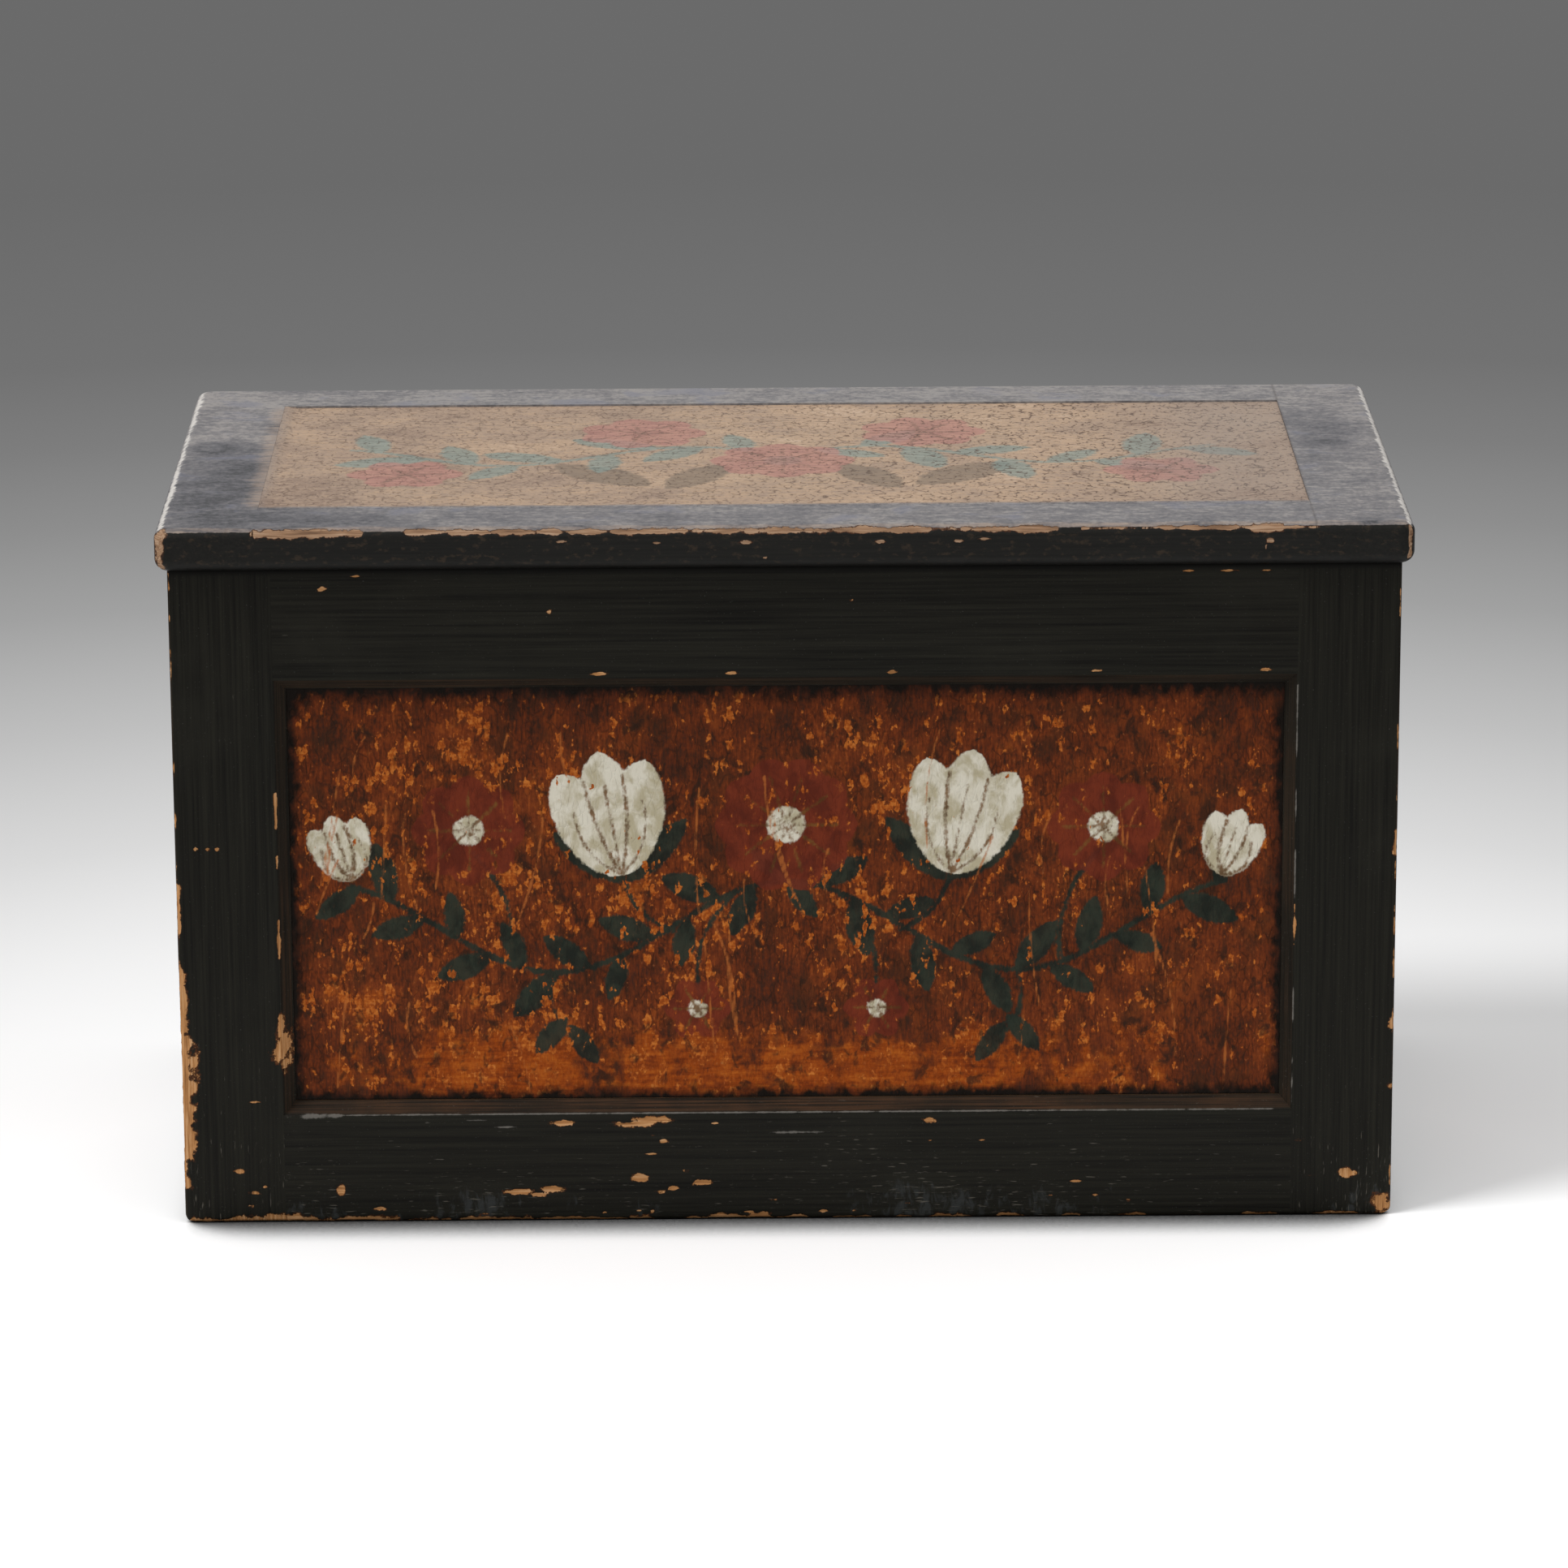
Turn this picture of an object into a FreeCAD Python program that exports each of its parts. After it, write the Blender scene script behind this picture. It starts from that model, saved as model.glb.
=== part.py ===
"""Panelled wooden trunk with a framed lid on two butt hinges.

Four frame-and-panel walls are tongued together at the corners. Nailed floor boards lie on cleats.
Millimetres, +Z up, front towards -Y, origin on the ground under the middle of the trunk.
"""
import FreeCAD
import Part
import math
import os

Vector = FreeCAD.Vector
Rotation = FreeCAD.Rotation
Placement = FreeCAD.Placement

# Carcass
BODY_LENGTH = 623.0
BODY_DEPTH = 308.0
BODY_HEIGHT = 348.0
BOARD = 22.0
STILE_WIDTH = 58.0
RAIL_WIDTH = 64.0
CHAMFER = 6.0
EDGE_EASE = 1.5

# Joints of the frames, all cut in one line with the panel grooves
GROOVE_WIDTH = 8.0
GROOVE_DEPTH = 9.0
GROOVE_SETBACK = 7.0
TENON_LENGTH = 22.0
HAUNCH_HEIGHT = 14.0
CORNER_TONGUE = 8.0
GLUE_ROOM = 0.5
PANEL_PLAY = 0.8
PANEL_CLEARANCE = 0.1

# Floor
CLEAT_SIZE = 20.0
CLEAT_LIFT = 6.0
FLOOR_BOARDS = ("front", "middle", "back")
FLOOR_THICKNESS = 12.0
FLOOR_TONGUE = 4.0
FLOOR_ARRIS = 1.0
FLOOR_CLEARANCE = 0.5
FLOOR_FIT = 0.2

# Lid
LID_THICKNESS = 22.0
LID_SIDE_OVERHANG = 6.0
LID_FRONT_OVERHANG = 7.0
LID_BACK_OVERHANG = 7.0
LID_STILE_WIDTH = 50.0
LID_RAIL_WIDTH = 43.0
LID_EDGE_RADIUS = 6.0
LID_CORNER_EXTRA = 2.0
LID_ARRIS = 0.6
LID_PANEL_RECESS = 1.0
LID_PANEL_GAP = 0.8

# Hinges
HINGE_INSET = 120.0
HINGE_LENGTH = 50.0
HINGE_LEAF_WIDTH = 18.0
HINGE_LEAF_THICKNESS = 1.8
HINGE_LEAF_GAP = 0.3
HINGE_FIT = 0.3
KNUCKLES = 3
KNUCKLE_RADIUS = 3.5
KNUCKLE_GAP = 0.3
PIN_RADIUS = 1.75
PIN_CLEARANCE = 0.05
PIN_SETBACK = 0.5
HINGE_SCREW_SPACING = 30.0
HINGE_SCREW_INSET = 11.0

# Tapered wood screws of the hinges
SCREW_LENGTH = 14.0
SCREW_HEAD_RADIUS = 3.2
SCREW_SHANK_RADIUS = 1.8
SCREW_TIP_RADIUS = 0.5
SCREW_SIDES = 12
SCREW_SLOT_WIDTH = 0.8
SCREW_SLOT_DEPTH = 0.9

# Cut nails of the floor
NAIL_WIDTH = 3.4
NAIL_THICKNESS = 2.0
NAIL_TIP_WIDTH = 1.6
NAIL_HEAD_LIP = 1.0
NAIL_HEAD_HEIGHT = 1.2
FLOOR_NAIL_BITE = 13.0
CLEAT_NAIL_BITE = 12.0
CLEAT_NAIL_INSET = 100.0
FASTENER_CLEARANCE = 0.05

# Sizes that follow from the ones above
END_WIDTH = BODY_DEPTH - 2 * BOARD
END_STILE_WIDTH = STILE_WIDTH - BOARD
INNER_HALF_LENGTH = BODY_LENGTH / 2 - BOARD
INNER_HALF_DEPTH = BODY_DEPTH / 2 - BOARD
CLEAT_TOP = CLEAT_LIFT + CLEAT_SIZE
FLOOR_TOP = CLEAT_TOP + FLOOR_THICKNESS
LID_LENGTH = BODY_LENGTH + 2 * LID_SIDE_OVERHANG
LID_DEPTH = BODY_DEPTH + LID_FRONT_OVERHANG + LID_BACK_OVERHANG
LID_FRONT = -BODY_DEPTH / 2 - LID_FRONT_OVERHANG
LID_TOP = BODY_HEIGHT + LID_THICKNESS
PIN_Y = BODY_DEPTH / 2 + PIN_SETBACK
PIN_Z = BODY_HEIGHT
HINGE_CENTRE = BODY_LENGTH / 2 - HINGE_INSET
KNUCKLE_LENGTH = (HINGE_LENGTH - (KNUCKLES - 1) * KNUCKLE_GAP) / KNUCKLES

ORIGIN = Vector(0, 0, 0)
UP = Vector(0, 0, 1)
DOWN = Vector(0, 0, -1)
ALONG = Vector(1, 0, 0)
SAME_PLACE = 0.001


def box(x, y, z):
    """Box between a low and a high limit along each axis."""
    return Part.makeBox(x[1] - x[0], y[1] - y[0], z[1] - z[0], Vector(x[0], y[0], z[0]))


def prism(points, length):
    """Solid made by drawing a flat outline out along a vector."""
    return Part.Face(Part.makePolygon(points + points[:1])).extrude(length)


def rod(start, radius, length):
    """Round bar along X."""
    return Part.makeCylinder(radius, length, start, ALONG)


def ring(radius, height, sides):
    """Level polygon round the Z axis that stands in for a small circle."""
    turns = [2 * math.pi * index / sides for index in range(sides)]
    points = [Vector(radius * math.cos(turn), radius * math.sin(turn), height) for turn in turns]
    return Part.makePolygon(points + points[:1])


def placed(shape, placement):
    """Copy moved to a place."""
    copy = shape.copy()
    copy.Placement = placement.multiply(shape.Placement)
    return copy


def cut_all(shape, tools):
    """Shape with every tool cut away."""
    return shape.cut(tools) if tools else shape


def eased(shape, lines, radius):
    """Shape with edges rounded; each line gives the coordinates that every point of its edges has."""
    def lies_on(edge, line):
        return all(abs(getattr(vertex.Point, axis) - value) < SAME_PLACE
                   for vertex in edge.Vertexes for axis, value in line.items())

    edges = [edge for edge in shape.Edges if any(lies_on(edge, line) for line in lines)]
    return shape.makeFillet(radius, edges)


# Frame and panel, drawn standing with its outer face at y = 0 and its foot at z = 0

def groove_band():
    """Depth limits shared by grooves, tenons and tongues, measured from the outer face."""
    return (GROOVE_SETBACK, GROOVE_SETBACK + GROOVE_WIDTH)


def stile_blank(width, height, thickness, stile_width, chamfer):
    """Left stile before its joints are cut, chamfered along its inner arris."""
    outer = -width / 2
    inner = outer + stile_width
    outline = [
        Vector(outer, 0, 0),
        Vector(inner - chamfer, 0, 0),
        Vector(inner, chamfer, 0),
        Vector(inner, thickness, 0),
        Vector(outer, thickness, 0),
    ]
    return prism(outline, Vector(0, 0, height))


def cut_stile(blank, width, height, stile_width, rail_width):
    """Left stile with its panel groove and its two mortises."""
    inner = -width / 2 + stile_width
    mortise_end = inner - TENON_LENGTH - GLUE_ROOM
    low = (HAUNCH_HEIGHT, rail_width - GROOVE_DEPTH)
    high = (height - low[1], height - low[0])
    groove = box((inner - GROOVE_DEPTH, inner), groove_band(), (0, height))
    mortises = [box((mortise_end, inner), groove_band(), limits) for limits in (low, high)]
    return cut_all(blank, [groove] + mortises)


def rail_blank(width, thickness, stile_width, rail_width, chamfer):
    """Bottom rail between the stile arrises, chamfered along its upper arris."""
    reach = width / 2 - stile_width + chamfer
    outline = [
        Vector(-reach, 0, 0),
        Vector(-reach, 0, rail_width - chamfer),
        Vector(-reach, chamfer, rail_width),
        Vector(-reach, thickness, rail_width),
        Vector(-reach, thickness, 0),
    ]
    return prism(outline, Vector(2 * reach, 0, 0))


def cut_rail(blank, stiles, width, stile_width, rail_width):
    """Bottom rail coped over the stiles, with haunched tenons and a panel groove."""
    shoulder = width / 2 - stile_width
    reach = shoulder + TENON_LENGTH
    tenons = box((-reach, reach), groove_band(), (HAUNCH_HEIGHT, rail_width))
    haunches = box((-shoulder - GROOVE_DEPTH, shoulder + GROOVE_DEPTH), groove_band(), (0, HAUNCH_HEIGHT))
    groove = box((-reach, reach), groove_band(), (rail_width - GROOVE_DEPTH, rail_width))
    rail = cut_all(blank, stiles).fuse([tenons, haunches])
    return rail.cut(groove).removeSplitter()


def plain_panel(width, height, stile_width, rail_width):
    """Flat panel that floats in the grooves."""
    half = width / 2 - stile_width + GROOVE_DEPTH - PANEL_PLAY
    low = rail_width - GROOVE_DEPTH + PANEL_PLAY
    band = groove_band()
    depth = (band[0] + PANEL_CLEARANCE, band[1] - PANEL_CLEARANCE)
    return box((-half, half), depth, (low, height - low))


def make_frame(width, height, thickness, stile_width, rail_width, chamfer, stile_lines=(), foot_lines=()):
    """Frame of two stiles, two rails and a panel; the line lists name the arrises to be rounded."""
    blank = stile_blank(width, height, thickness, stile_width, chamfer)
    blanks = [blank, mirrored_across(blank)]
    rail = rail_blank(width, thickness, stile_width, rail_width, chamfer)
    upper = cut_rail(rail, blanks, width, stile_width, rail_width)
    upper = upper.mirror(Vector(0, 0, height / 2), UP)
    if foot_lines:
        rail = eased(rail, foot_lines, EDGE_EASE)
    if stile_lines:
        blank = eased(blank, stile_lines, EDGE_EASE)
    stile = cut_stile(blank, width, height, stile_width, rail_width)
    return {
        "left_stile": stile,
        "right_stile": mirrored_across(stile),
        "bottom_rail": cut_rail(rail, blanks, width, stile_width, rail_width),
        "top_rail": upper,
        "panel": plain_panel(width, height, stile_width, rail_width),
    }


def mirrored_across(shape):
    """Copy on the other side of the middle plane."""
    return shape.mirror(ORIGIN, ALONG)


# Walls

def wall_foot():
    """Lower outer arris of a wall."""
    return {"y": 0.0, "z": 0.0}


def make_long_wall():
    """Front or back wall, whose stiles are grooved on the inside for the end walls."""
    outer = -BODY_LENGTH / 2
    corner = {"x": outer, "y": 0.0}
    side_foot = {"x": outer, "z": 0.0}
    wall = make_frame(BODY_LENGTH, BODY_HEIGHT, BOARD, STILE_WIDTH, RAIL_WIDTH, CHAMFER,
                      [corner, side_foot, wall_foot()], [wall_foot()])
    band = groove_band()
    seat = box((outer + band[0], outer + band[1]),
               (BOARD - CORNER_TONGUE - GLUE_ROOM, BOARD), (0, BODY_HEIGHT))
    wall["left_stile"] = wall["left_stile"].cut(seat)
    wall["right_stile"] = wall["right_stile"].cut(mirrored_across(seat))
    return wall


def make_end_wall():
    """End wall, whose stiles carry a tongue for the front and back walls."""
    wall = make_frame(END_WIDTH, BODY_HEIGHT, BOARD, END_STILE_WIDTH, RAIL_WIDTH, CHAMFER,
                      [wall_foot()], [wall_foot()])
    outer = -END_WIDTH / 2
    tongue = box((outer - CORNER_TONGUE, outer), groove_band(), (0, BODY_HEIGHT))
    wall["left_stile"] = wall["left_stile"].fuse(tongue).removeSplitter()
    wall["right_stile"] = wall["right_stile"].fuse(mirrored_across(tongue)).removeSplitter()
    return wall


def stood(wall, turn, place, names):
    """Wall turned about Z and moved to its place, with its pieces under new names."""
    placement = Placement(place, Rotation(UP, turn))
    return {names[piece]: placed(shape, placement) for piece, shape in wall.items()}


def make_walls():
    """The four walls, each piece under its own name."""
    def names(wall, left, right):
        return {
            "left_stile": f"{wall}_{left}_stile",
            "right_stile": f"{wall}_{right}_stile",
            "bottom_rail": f"{wall}_bottom_rail",
            "top_rail": f"{wall}_top_rail",
            "panel": f"{wall}_panel",
        }

    long_wall = make_long_wall()
    end_wall = make_end_wall()
    pieces = {}
    pieces.update(stood(long_wall, 0, Vector(0, -BODY_DEPTH / 2, 0), names("front", "left", "right")))
    pieces.update(stood(long_wall, 180, Vector(0, BODY_DEPTH / 2, 0), names("back", "right", "left")))
    pieces.update(stood(end_wall, -90, Vector(-BODY_LENGTH / 2, 0, 0), names("left_end", "back", "front")))
    pieces.update(stood(end_wall, 90, Vector(BODY_LENGTH / 2, 0, 0), names("right_end", "front", "back")))
    return pieces


# Floor

def floor_board(low, high, has_groove, has_tongue):
    """Floor board along X between two depths, with its arrises taken off."""
    middle = CLEAT_TOP + FLOOR_THICKNESS / 2
    tongue = FLOOR_TONGUE / 2
    groove = tongue + FLOOR_FIT
    seat = low + FLOOR_TONGUE + FLOOR_FIT
    outline = [(low, CLEAT_TOP), (high, CLEAT_TOP)]
    if has_tongue:
        tip = high + FLOOR_TONGUE
        outline += [(high, middle - tongue), (tip, middle - tongue)]
        outline += [(tip, middle + tongue), (high, middle + tongue)]
    outline += [(high, FLOOR_TOP - FLOOR_ARRIS), (high - FLOOR_ARRIS, FLOOR_TOP)]
    outline += [(low + FLOOR_ARRIS, FLOOR_TOP), (low, FLOOR_TOP - FLOOR_ARRIS)]
    if has_groove:
        outline += [(low, middle + groove), (seat, middle + groove)]
        outline += [(seat, middle - groove), (low, middle - groove)]
    half = INNER_HALF_LENGTH - FLOOR_CLEARANCE
    return prism([Vector(-half, y, z) for y, z in outline], Vector(2 * half, 0, 0))


def make_floor():
    """Floor boards, tongued and grooved together."""
    count = len(FLOOR_BOARDS)
    start = -INNER_HALF_DEPTH + FLOOR_CLEARANCE
    width = -2 * start / count
    boards = {}
    for index, name in enumerate(FLOOR_BOARDS):
        low = start + index * width
        boards[f"floor_board_{name}"] = floor_board(low, low + width, index > 0, index < count - 1)
    return boards


def make_cleats():
    """Square strips round the inside that the floor lies on."""
    half = INNER_HALF_LENGTH - FLOOR_CLEARANCE
    inner = INNER_HALF_DEPTH - CLEAT_SIZE
    height = (CLEAT_LIFT, CLEAT_TOP)
    across = (-inner, inner)
    return {
        "floor_cleat_front": box((-half, half), (-INNER_HALF_DEPTH, -inner), height),
        "floor_cleat_back": box((-half, half), (inner, INNER_HALF_DEPTH), height),
        "floor_cleat_left": box((-INNER_HALF_LENGTH, CLEAT_SIZE - INNER_HALF_LENGTH), across, height),
        "floor_cleat_right": box((INNER_HALF_LENGTH - CLEAT_SIZE, INNER_HALF_LENGTH), across, height),
    }


# Fasteners, drawn hanging down from the origin, or their holes where room is added all round

def screw_body(room):
    """Countersunk wood screw with a tapered shank."""
    sections = [
        (SCREW_HEAD_RADIUS, 0),
        (SCREW_SHANK_RADIUS, SCREW_SHANK_RADIUS - SCREW_HEAD_RADIUS),
        (SCREW_TIP_RADIUS, -SCREW_LENGTH - room),
    ]
    rings = [ring(radius + room, height, SCREW_SIDES) for radius, height in sections]
    return Part.makeLoft(rings, True, True)


def screw():
    """Wood screw with its slot."""
    reach = 2 * SCREW_HEAD_RADIUS
    half = SCREW_SLOT_WIDTH / 2
    return screw_body(0).cut(box((-reach, reach), (-half, half), (-SCREW_SLOT_DEPTH, SCREW_SLOT_DEPTH)))


def cut_nail(length, room):
    """Nail sheared from plate: a tapered shank under a flat head."""
    shank = NAIL_WIDTH / 2 + room
    tip = NAIL_TIP_WIDTH / 2 + room
    thick = NAIL_THICKNESS / 2 + room
    lip = NAIL_HEAD_LIP
    end = -length - room
    outline = [(-shank, 0), (shank, 0), (tip, end), (-tip, end)]
    body = prism([Vector(x, -thick, z) for x, z in outline], Vector(0, 2 * thick, 0))
    head = box((-shank - lip, shank + lip), (-thick - lip, thick + lip), (-NAIL_HEAD_HEIGHT, 0))
    return body.fuse(head)


def driven(shape, places):
    """Copies of a fastener, each driven in at a point along a direction."""
    return [placed(shape, Placement(point, Rotation(DOWN, direction))) for point, direction in places]


def cleat_nail_places():
    """Nails through the cleats into the bottom rails."""
    height = CLEAT_LIFT + CLEAT_SIZE / 2
    along = BODY_LENGTH / 2 - CLEAT_NAIL_INSET
    across = BODY_DEPTH / 2 - CLEAT_NAIL_INSET
    places = []
    for side in (-1, 1):
        face = side * (INNER_HALF_DEPTH - CLEAT_SIZE)
        places += [(Vector(x, face, height), Vector(0, side, 0)) for x in (-along, 0, along)]
        face = side * (INNER_HALF_LENGTH - CLEAT_SIZE)
        places += [(Vector(face, y, height), Vector(side, 0, 0)) for y in (-across, across)]
    return places


def floor_nail_places():
    """Two nails at each end of every floor board, into the end cleats."""
    count = len(FLOOR_BOARDS)
    width = 2 * (INNER_HALF_DEPTH - FLOOR_CLEARANCE) / count
    end = INNER_HALF_LENGTH - CLEAT_SIZE / 2
    places = []
    for index in range(count):
        middle = (index - (count - 1) / 2) * width
        for x in (-end, end):
            places += [(Vector(x, middle + side * width / 4, FLOOR_TOP), DOWN) for side in (-1, 1)]
    return places


def hinge_screw_places(direction):
    """Two screws in each hinge leaf, driven up into the lid or down into the back wall."""
    depth = PIN_Y - HINGE_SCREW_INSET
    height = PIN_Z + direction.z * HINGE_LEAF_GAP / 2
    steps = (-HINGE_SCREW_SPACING / 2, HINGE_SCREW_SPACING / 2)
    return [(Vector(side * HINGE_CENTRE + step, depth, height), direction)
            for side in (-1, 1) for step in steps]


# Hinges

def knuckle_spans(centre, first):
    """Starting points along X of every second knuckle."""
    start = centre - HINGE_LENGTH / 2
    return [start + index * (KNUCKLE_LENGTH + KNUCKLE_GAP) for index in range(first, KNUCKLES, 2)]


def hinge_leaf(centre, side, first):
    """Leaf above (side 1) or below (side -1) the pin, with its own knuckles and room for the others."""
    faces = sorted((PIN_Z + side * HINGE_LEAF_GAP / 2,
                    PIN_Z + side * (HINGE_LEAF_GAP / 2 + HINGE_LEAF_THICKNESS)))
    half = HINGE_LENGTH / 2
    plate = box((centre - half, centre + half), (PIN_Y - HINGE_LEAF_WIDTH, PIN_Y), faces)
    relief = KNUCKLE_RADIUS + KNUCKLE_GAP
    gaps = [rod(Vector(x - KNUCKLE_GAP, PIN_Y, PIN_Z), relief, KNUCKLE_LENGTH + 2 * KNUCKLE_GAP)
            for x in knuckle_spans(centre, 1 - first)]
    knuckles = [rod(Vector(x, PIN_Y, PIN_Z), KNUCKLE_RADIUS, KNUCKLE_LENGTH)
                for x in knuckle_spans(centre, first)]
    bore = rod(Vector(centre - half, PIN_Y, PIN_Z), PIN_RADIUS + PIN_CLEARANCE, HINGE_LENGTH)
    return plate.cut(gaps).fuse(knuckles).cut(bore).removeSplitter()


def hinge_seat(centre, side):
    """Room for a hinge in the lid (side 1) or the back wall (side -1)."""
    half = HINGE_LENGTH / 2 + HINGE_FIT
    faces = sorted((PIN_Z, PIN_Z + side * (HINGE_LEAF_GAP / 2 + HINGE_LEAF_THICKNESS)))
    gain = box((centre - half, centre + half), (PIN_Y - HINGE_LEAF_WIDTH - HINGE_FIT, PIN_Y), faces)
    barrel = rod(Vector(centre - half, PIN_Y, PIN_Z), KNUCKLE_RADIUS + HINGE_FIT, 2 * half)
    return gain.fuse(barrel)


def make_hinges():
    """Leaves and pins of the two hinges."""
    pieces = {}
    for name, side in (("left", -1), ("right", 1)):
        centre = side * HINGE_CENTRE
        pieces[f"{name}_hinge_wall_leaf"] = hinge_leaf(centre, -1, 0)
        pieces[f"{name}_hinge_lid_leaf"] = hinge_leaf(centre, 1, 1)
        start = Vector(centre - HINGE_LENGTH / 2, PIN_Y, PIN_Z)
        pieces[f"{name}_hinge_pin"] = rod(start, PIN_RADIUS, HINGE_LENGTH)
    return pieces


# Lid

def lid_envelope():
    """The lid as one slab with rounded corners and edges, which its frame is trimmed to."""
    half = LID_LENGTH / 2
    slab = box((-half, half), (LID_FRONT, LID_FRONT + LID_DEPTH), (BODY_HEIGHT, LID_TOP))
    corners = [{"x": x, "y": y} for x in (-half, half) for y in (LID_FRONT, LID_FRONT + LID_DEPTH)]
    slab = eased(slab, corners, LID_EDGE_RADIUS + LID_CORNER_EXTRA)
    return eased(slab, [{"z": BODY_HEIGHT}, {"z": LID_TOP}], LID_EDGE_RADIUS)


def lid_panel(panel):
    """Lid panel with a raised field that comes almost level with the frame."""
    half = LID_LENGTH / 2 - LID_STILE_WIDTH - LID_PANEL_GAP
    low = LID_RAIL_WIDTH + LID_PANEL_GAP
    field = box((-half, half), (LID_PANEL_RECESS, GROOVE_SETBACK + PANEL_CLEARANCE), (low, LID_DEPTH - low))
    return panel.fuse(field).removeSplitter()


def make_lid():
    """Lid frame and panel, laid flat with the outer face up."""
    frame = make_frame(LID_LENGTH, LID_DEPTH, LID_THICKNESS, LID_STILE_WIDTH, LID_RAIL_WIDTH, LID_ARRIS)
    frame["panel"] = lid_panel(frame["panel"])
    laid = Placement(Vector(0, LID_FRONT, LID_TOP), Rotation(ALONG, -90))
    frame = {piece: placed(shape, laid) for piece, shape in frame.items()}
    envelope = lid_envelope()
    seats = [hinge_seat(side * HINGE_CENTRE, 1) for side in (-1, 1)]
    return {
        "lid_left_stile": frame["left_stile"].common(envelope),
        "lid_right_stile": frame["right_stile"].common(envelope),
        "lid_front_rail": frame["bottom_rail"].common(envelope),
        "lid_back_rail": frame["top_rail"].common(envelope).cut(seats),
        "lid_panel": frame["panel"],
    }


# Assembly

def drive(pieces, name, fastener, hole, places):
    """Adds a group of fasteners and bores their holes in every piece that they pass through."""
    holes = driven(hole, places)
    for piece, shape in pieces.items():
        crossing = [tool for tool in holes if tool.BoundBox.intersect(shape.BoundBox)]
        pieces[piece] = cut_all(shape, crossing)
    pieces[name] = Part.makeCompound(driven(fastener, places))


def make_trunk():
    """Every piece of the trunk under its name."""
    wood = make_walls()
    seats = [hinge_seat(side * HINGE_CENTRE, -1) for side in (-1, 1)]
    wood["back_top_rail"] = wood["back_top_rail"].cut(seats)
    wood.update(make_floor())
    wood.update(make_cleats())
    length = FLOOR_THICKNESS + FLOOR_NAIL_BITE
    hole = cut_nail(length, FASTENER_CLEARANCE)
    drive(wood, "floor_nails", cut_nail(length, 0), hole, floor_nail_places())
    length = CLEAT_SIZE + CLEAT_NAIL_BITE
    hole = cut_nail(length, FASTENER_CLEARANCE)
    drive(wood, "cleat_nails", cut_nail(length, 0), hole, cleat_nail_places())
    wood.update(make_lid())
    wood.update(make_hinges())
    hole = screw_body(FASTENER_CLEARANCE)
    drive(wood, "hinge_wall_screws", screw(), hole, hinge_screw_places(DOWN))
    drive(wood, "hinge_lid_screws", screw(), hole, hinge_screw_places(UP))
    return wood


os.makedirs("parts", exist_ok=True)
for node, solid in make_trunk().items():
    solid.exportStep(f"parts/{node}.step")
    print(node, len(solid.Solids), "solids,", round(solid.Volume), "mm3, valid", solid.isValid())
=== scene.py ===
"""The looks of a panelled wooden trunk: chipped black paint round a crackled red-brown panel, under a grey
lid whose bloomed coat is partly a painted sheen. Sizes are millimetres in the trunk's own frame, and become
metres where a mesh is made."""

import math

import bpy
import numpy as np
from mathutils import Matrix, Vector, noise


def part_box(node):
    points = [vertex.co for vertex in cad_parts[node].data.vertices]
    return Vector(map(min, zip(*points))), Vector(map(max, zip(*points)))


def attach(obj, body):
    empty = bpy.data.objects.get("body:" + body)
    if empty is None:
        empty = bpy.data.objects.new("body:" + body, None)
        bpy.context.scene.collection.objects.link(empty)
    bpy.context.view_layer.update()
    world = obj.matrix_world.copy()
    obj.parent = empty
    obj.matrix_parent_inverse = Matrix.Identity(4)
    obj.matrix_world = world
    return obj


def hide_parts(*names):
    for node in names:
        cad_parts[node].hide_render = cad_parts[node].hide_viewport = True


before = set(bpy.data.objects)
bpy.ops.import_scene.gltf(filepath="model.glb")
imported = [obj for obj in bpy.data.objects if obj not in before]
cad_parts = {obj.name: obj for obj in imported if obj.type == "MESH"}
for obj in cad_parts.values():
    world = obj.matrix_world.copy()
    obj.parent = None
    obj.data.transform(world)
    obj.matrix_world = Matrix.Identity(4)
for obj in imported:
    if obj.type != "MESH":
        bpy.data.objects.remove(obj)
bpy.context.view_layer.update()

MM = 0.001
RANDOM_SEED = 11

# Sizes of the boards' edges
CHAMFER = 6.0
CORNER_EASE = 1.5
WORN_CORNER = 5.0
WORN_EDGE = 2.2
LID_EDGE_RADIUS = 6.0
LID_CORNER_RADIUS = 8.0
LID_PANEL_GAP = 0.05

# How finely the faces are divided
RIM = 8.0
RIM_STEP = 1.0
FRONT_STEP = 2.5
FINE_STEP = 1.25
FINE_BOARDS = ("front_left_stile", "front_right_stile", "front_bottom_rail", "lid_front_rail")
SIDE_STEP = 5.0
PAINTED_STEP = 1.25
LID_PAINTED_STEP = 1.5
PLAIN_PANEL_STEP = 6.0
SHARP_ANGLE = math.radians(38)


def corners(node):
    """Lowest and highest corner of a solid, in millimetres."""
    low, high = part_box(node)
    return np.array(low) / MM, np.array(high) / MM


LEFT, FRONT, BOTTOM = np.minimum(corners("front_left_stile")[0], corners("back_left_stile")[0])
RIGHT, BACK, TOP = np.maximum(corners("front_right_stile")[1], corners("back_right_stile")[1])
LID_LOW = corners("lid_left_stile")[0]
LID_HIGH = corners("lid_right_stile")[1]
BOARD = corners("front_left_stile")[1][1] - FRONT
OPENING_LOW = np.array([corners("front_left_stile")[1][0], corners("front_bottom_rail")[1][2]])
OPENING_HIGH = np.array([corners("front_right_stile")[0][0], corners("front_top_rail")[0][2]])
STILE_ARRIS = OPENING_HIGH[0] + CHAMFER
LOW_ARRIS = OPENING_LOW[1] - CHAMFER


# Blocks with finely divided faces

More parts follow.
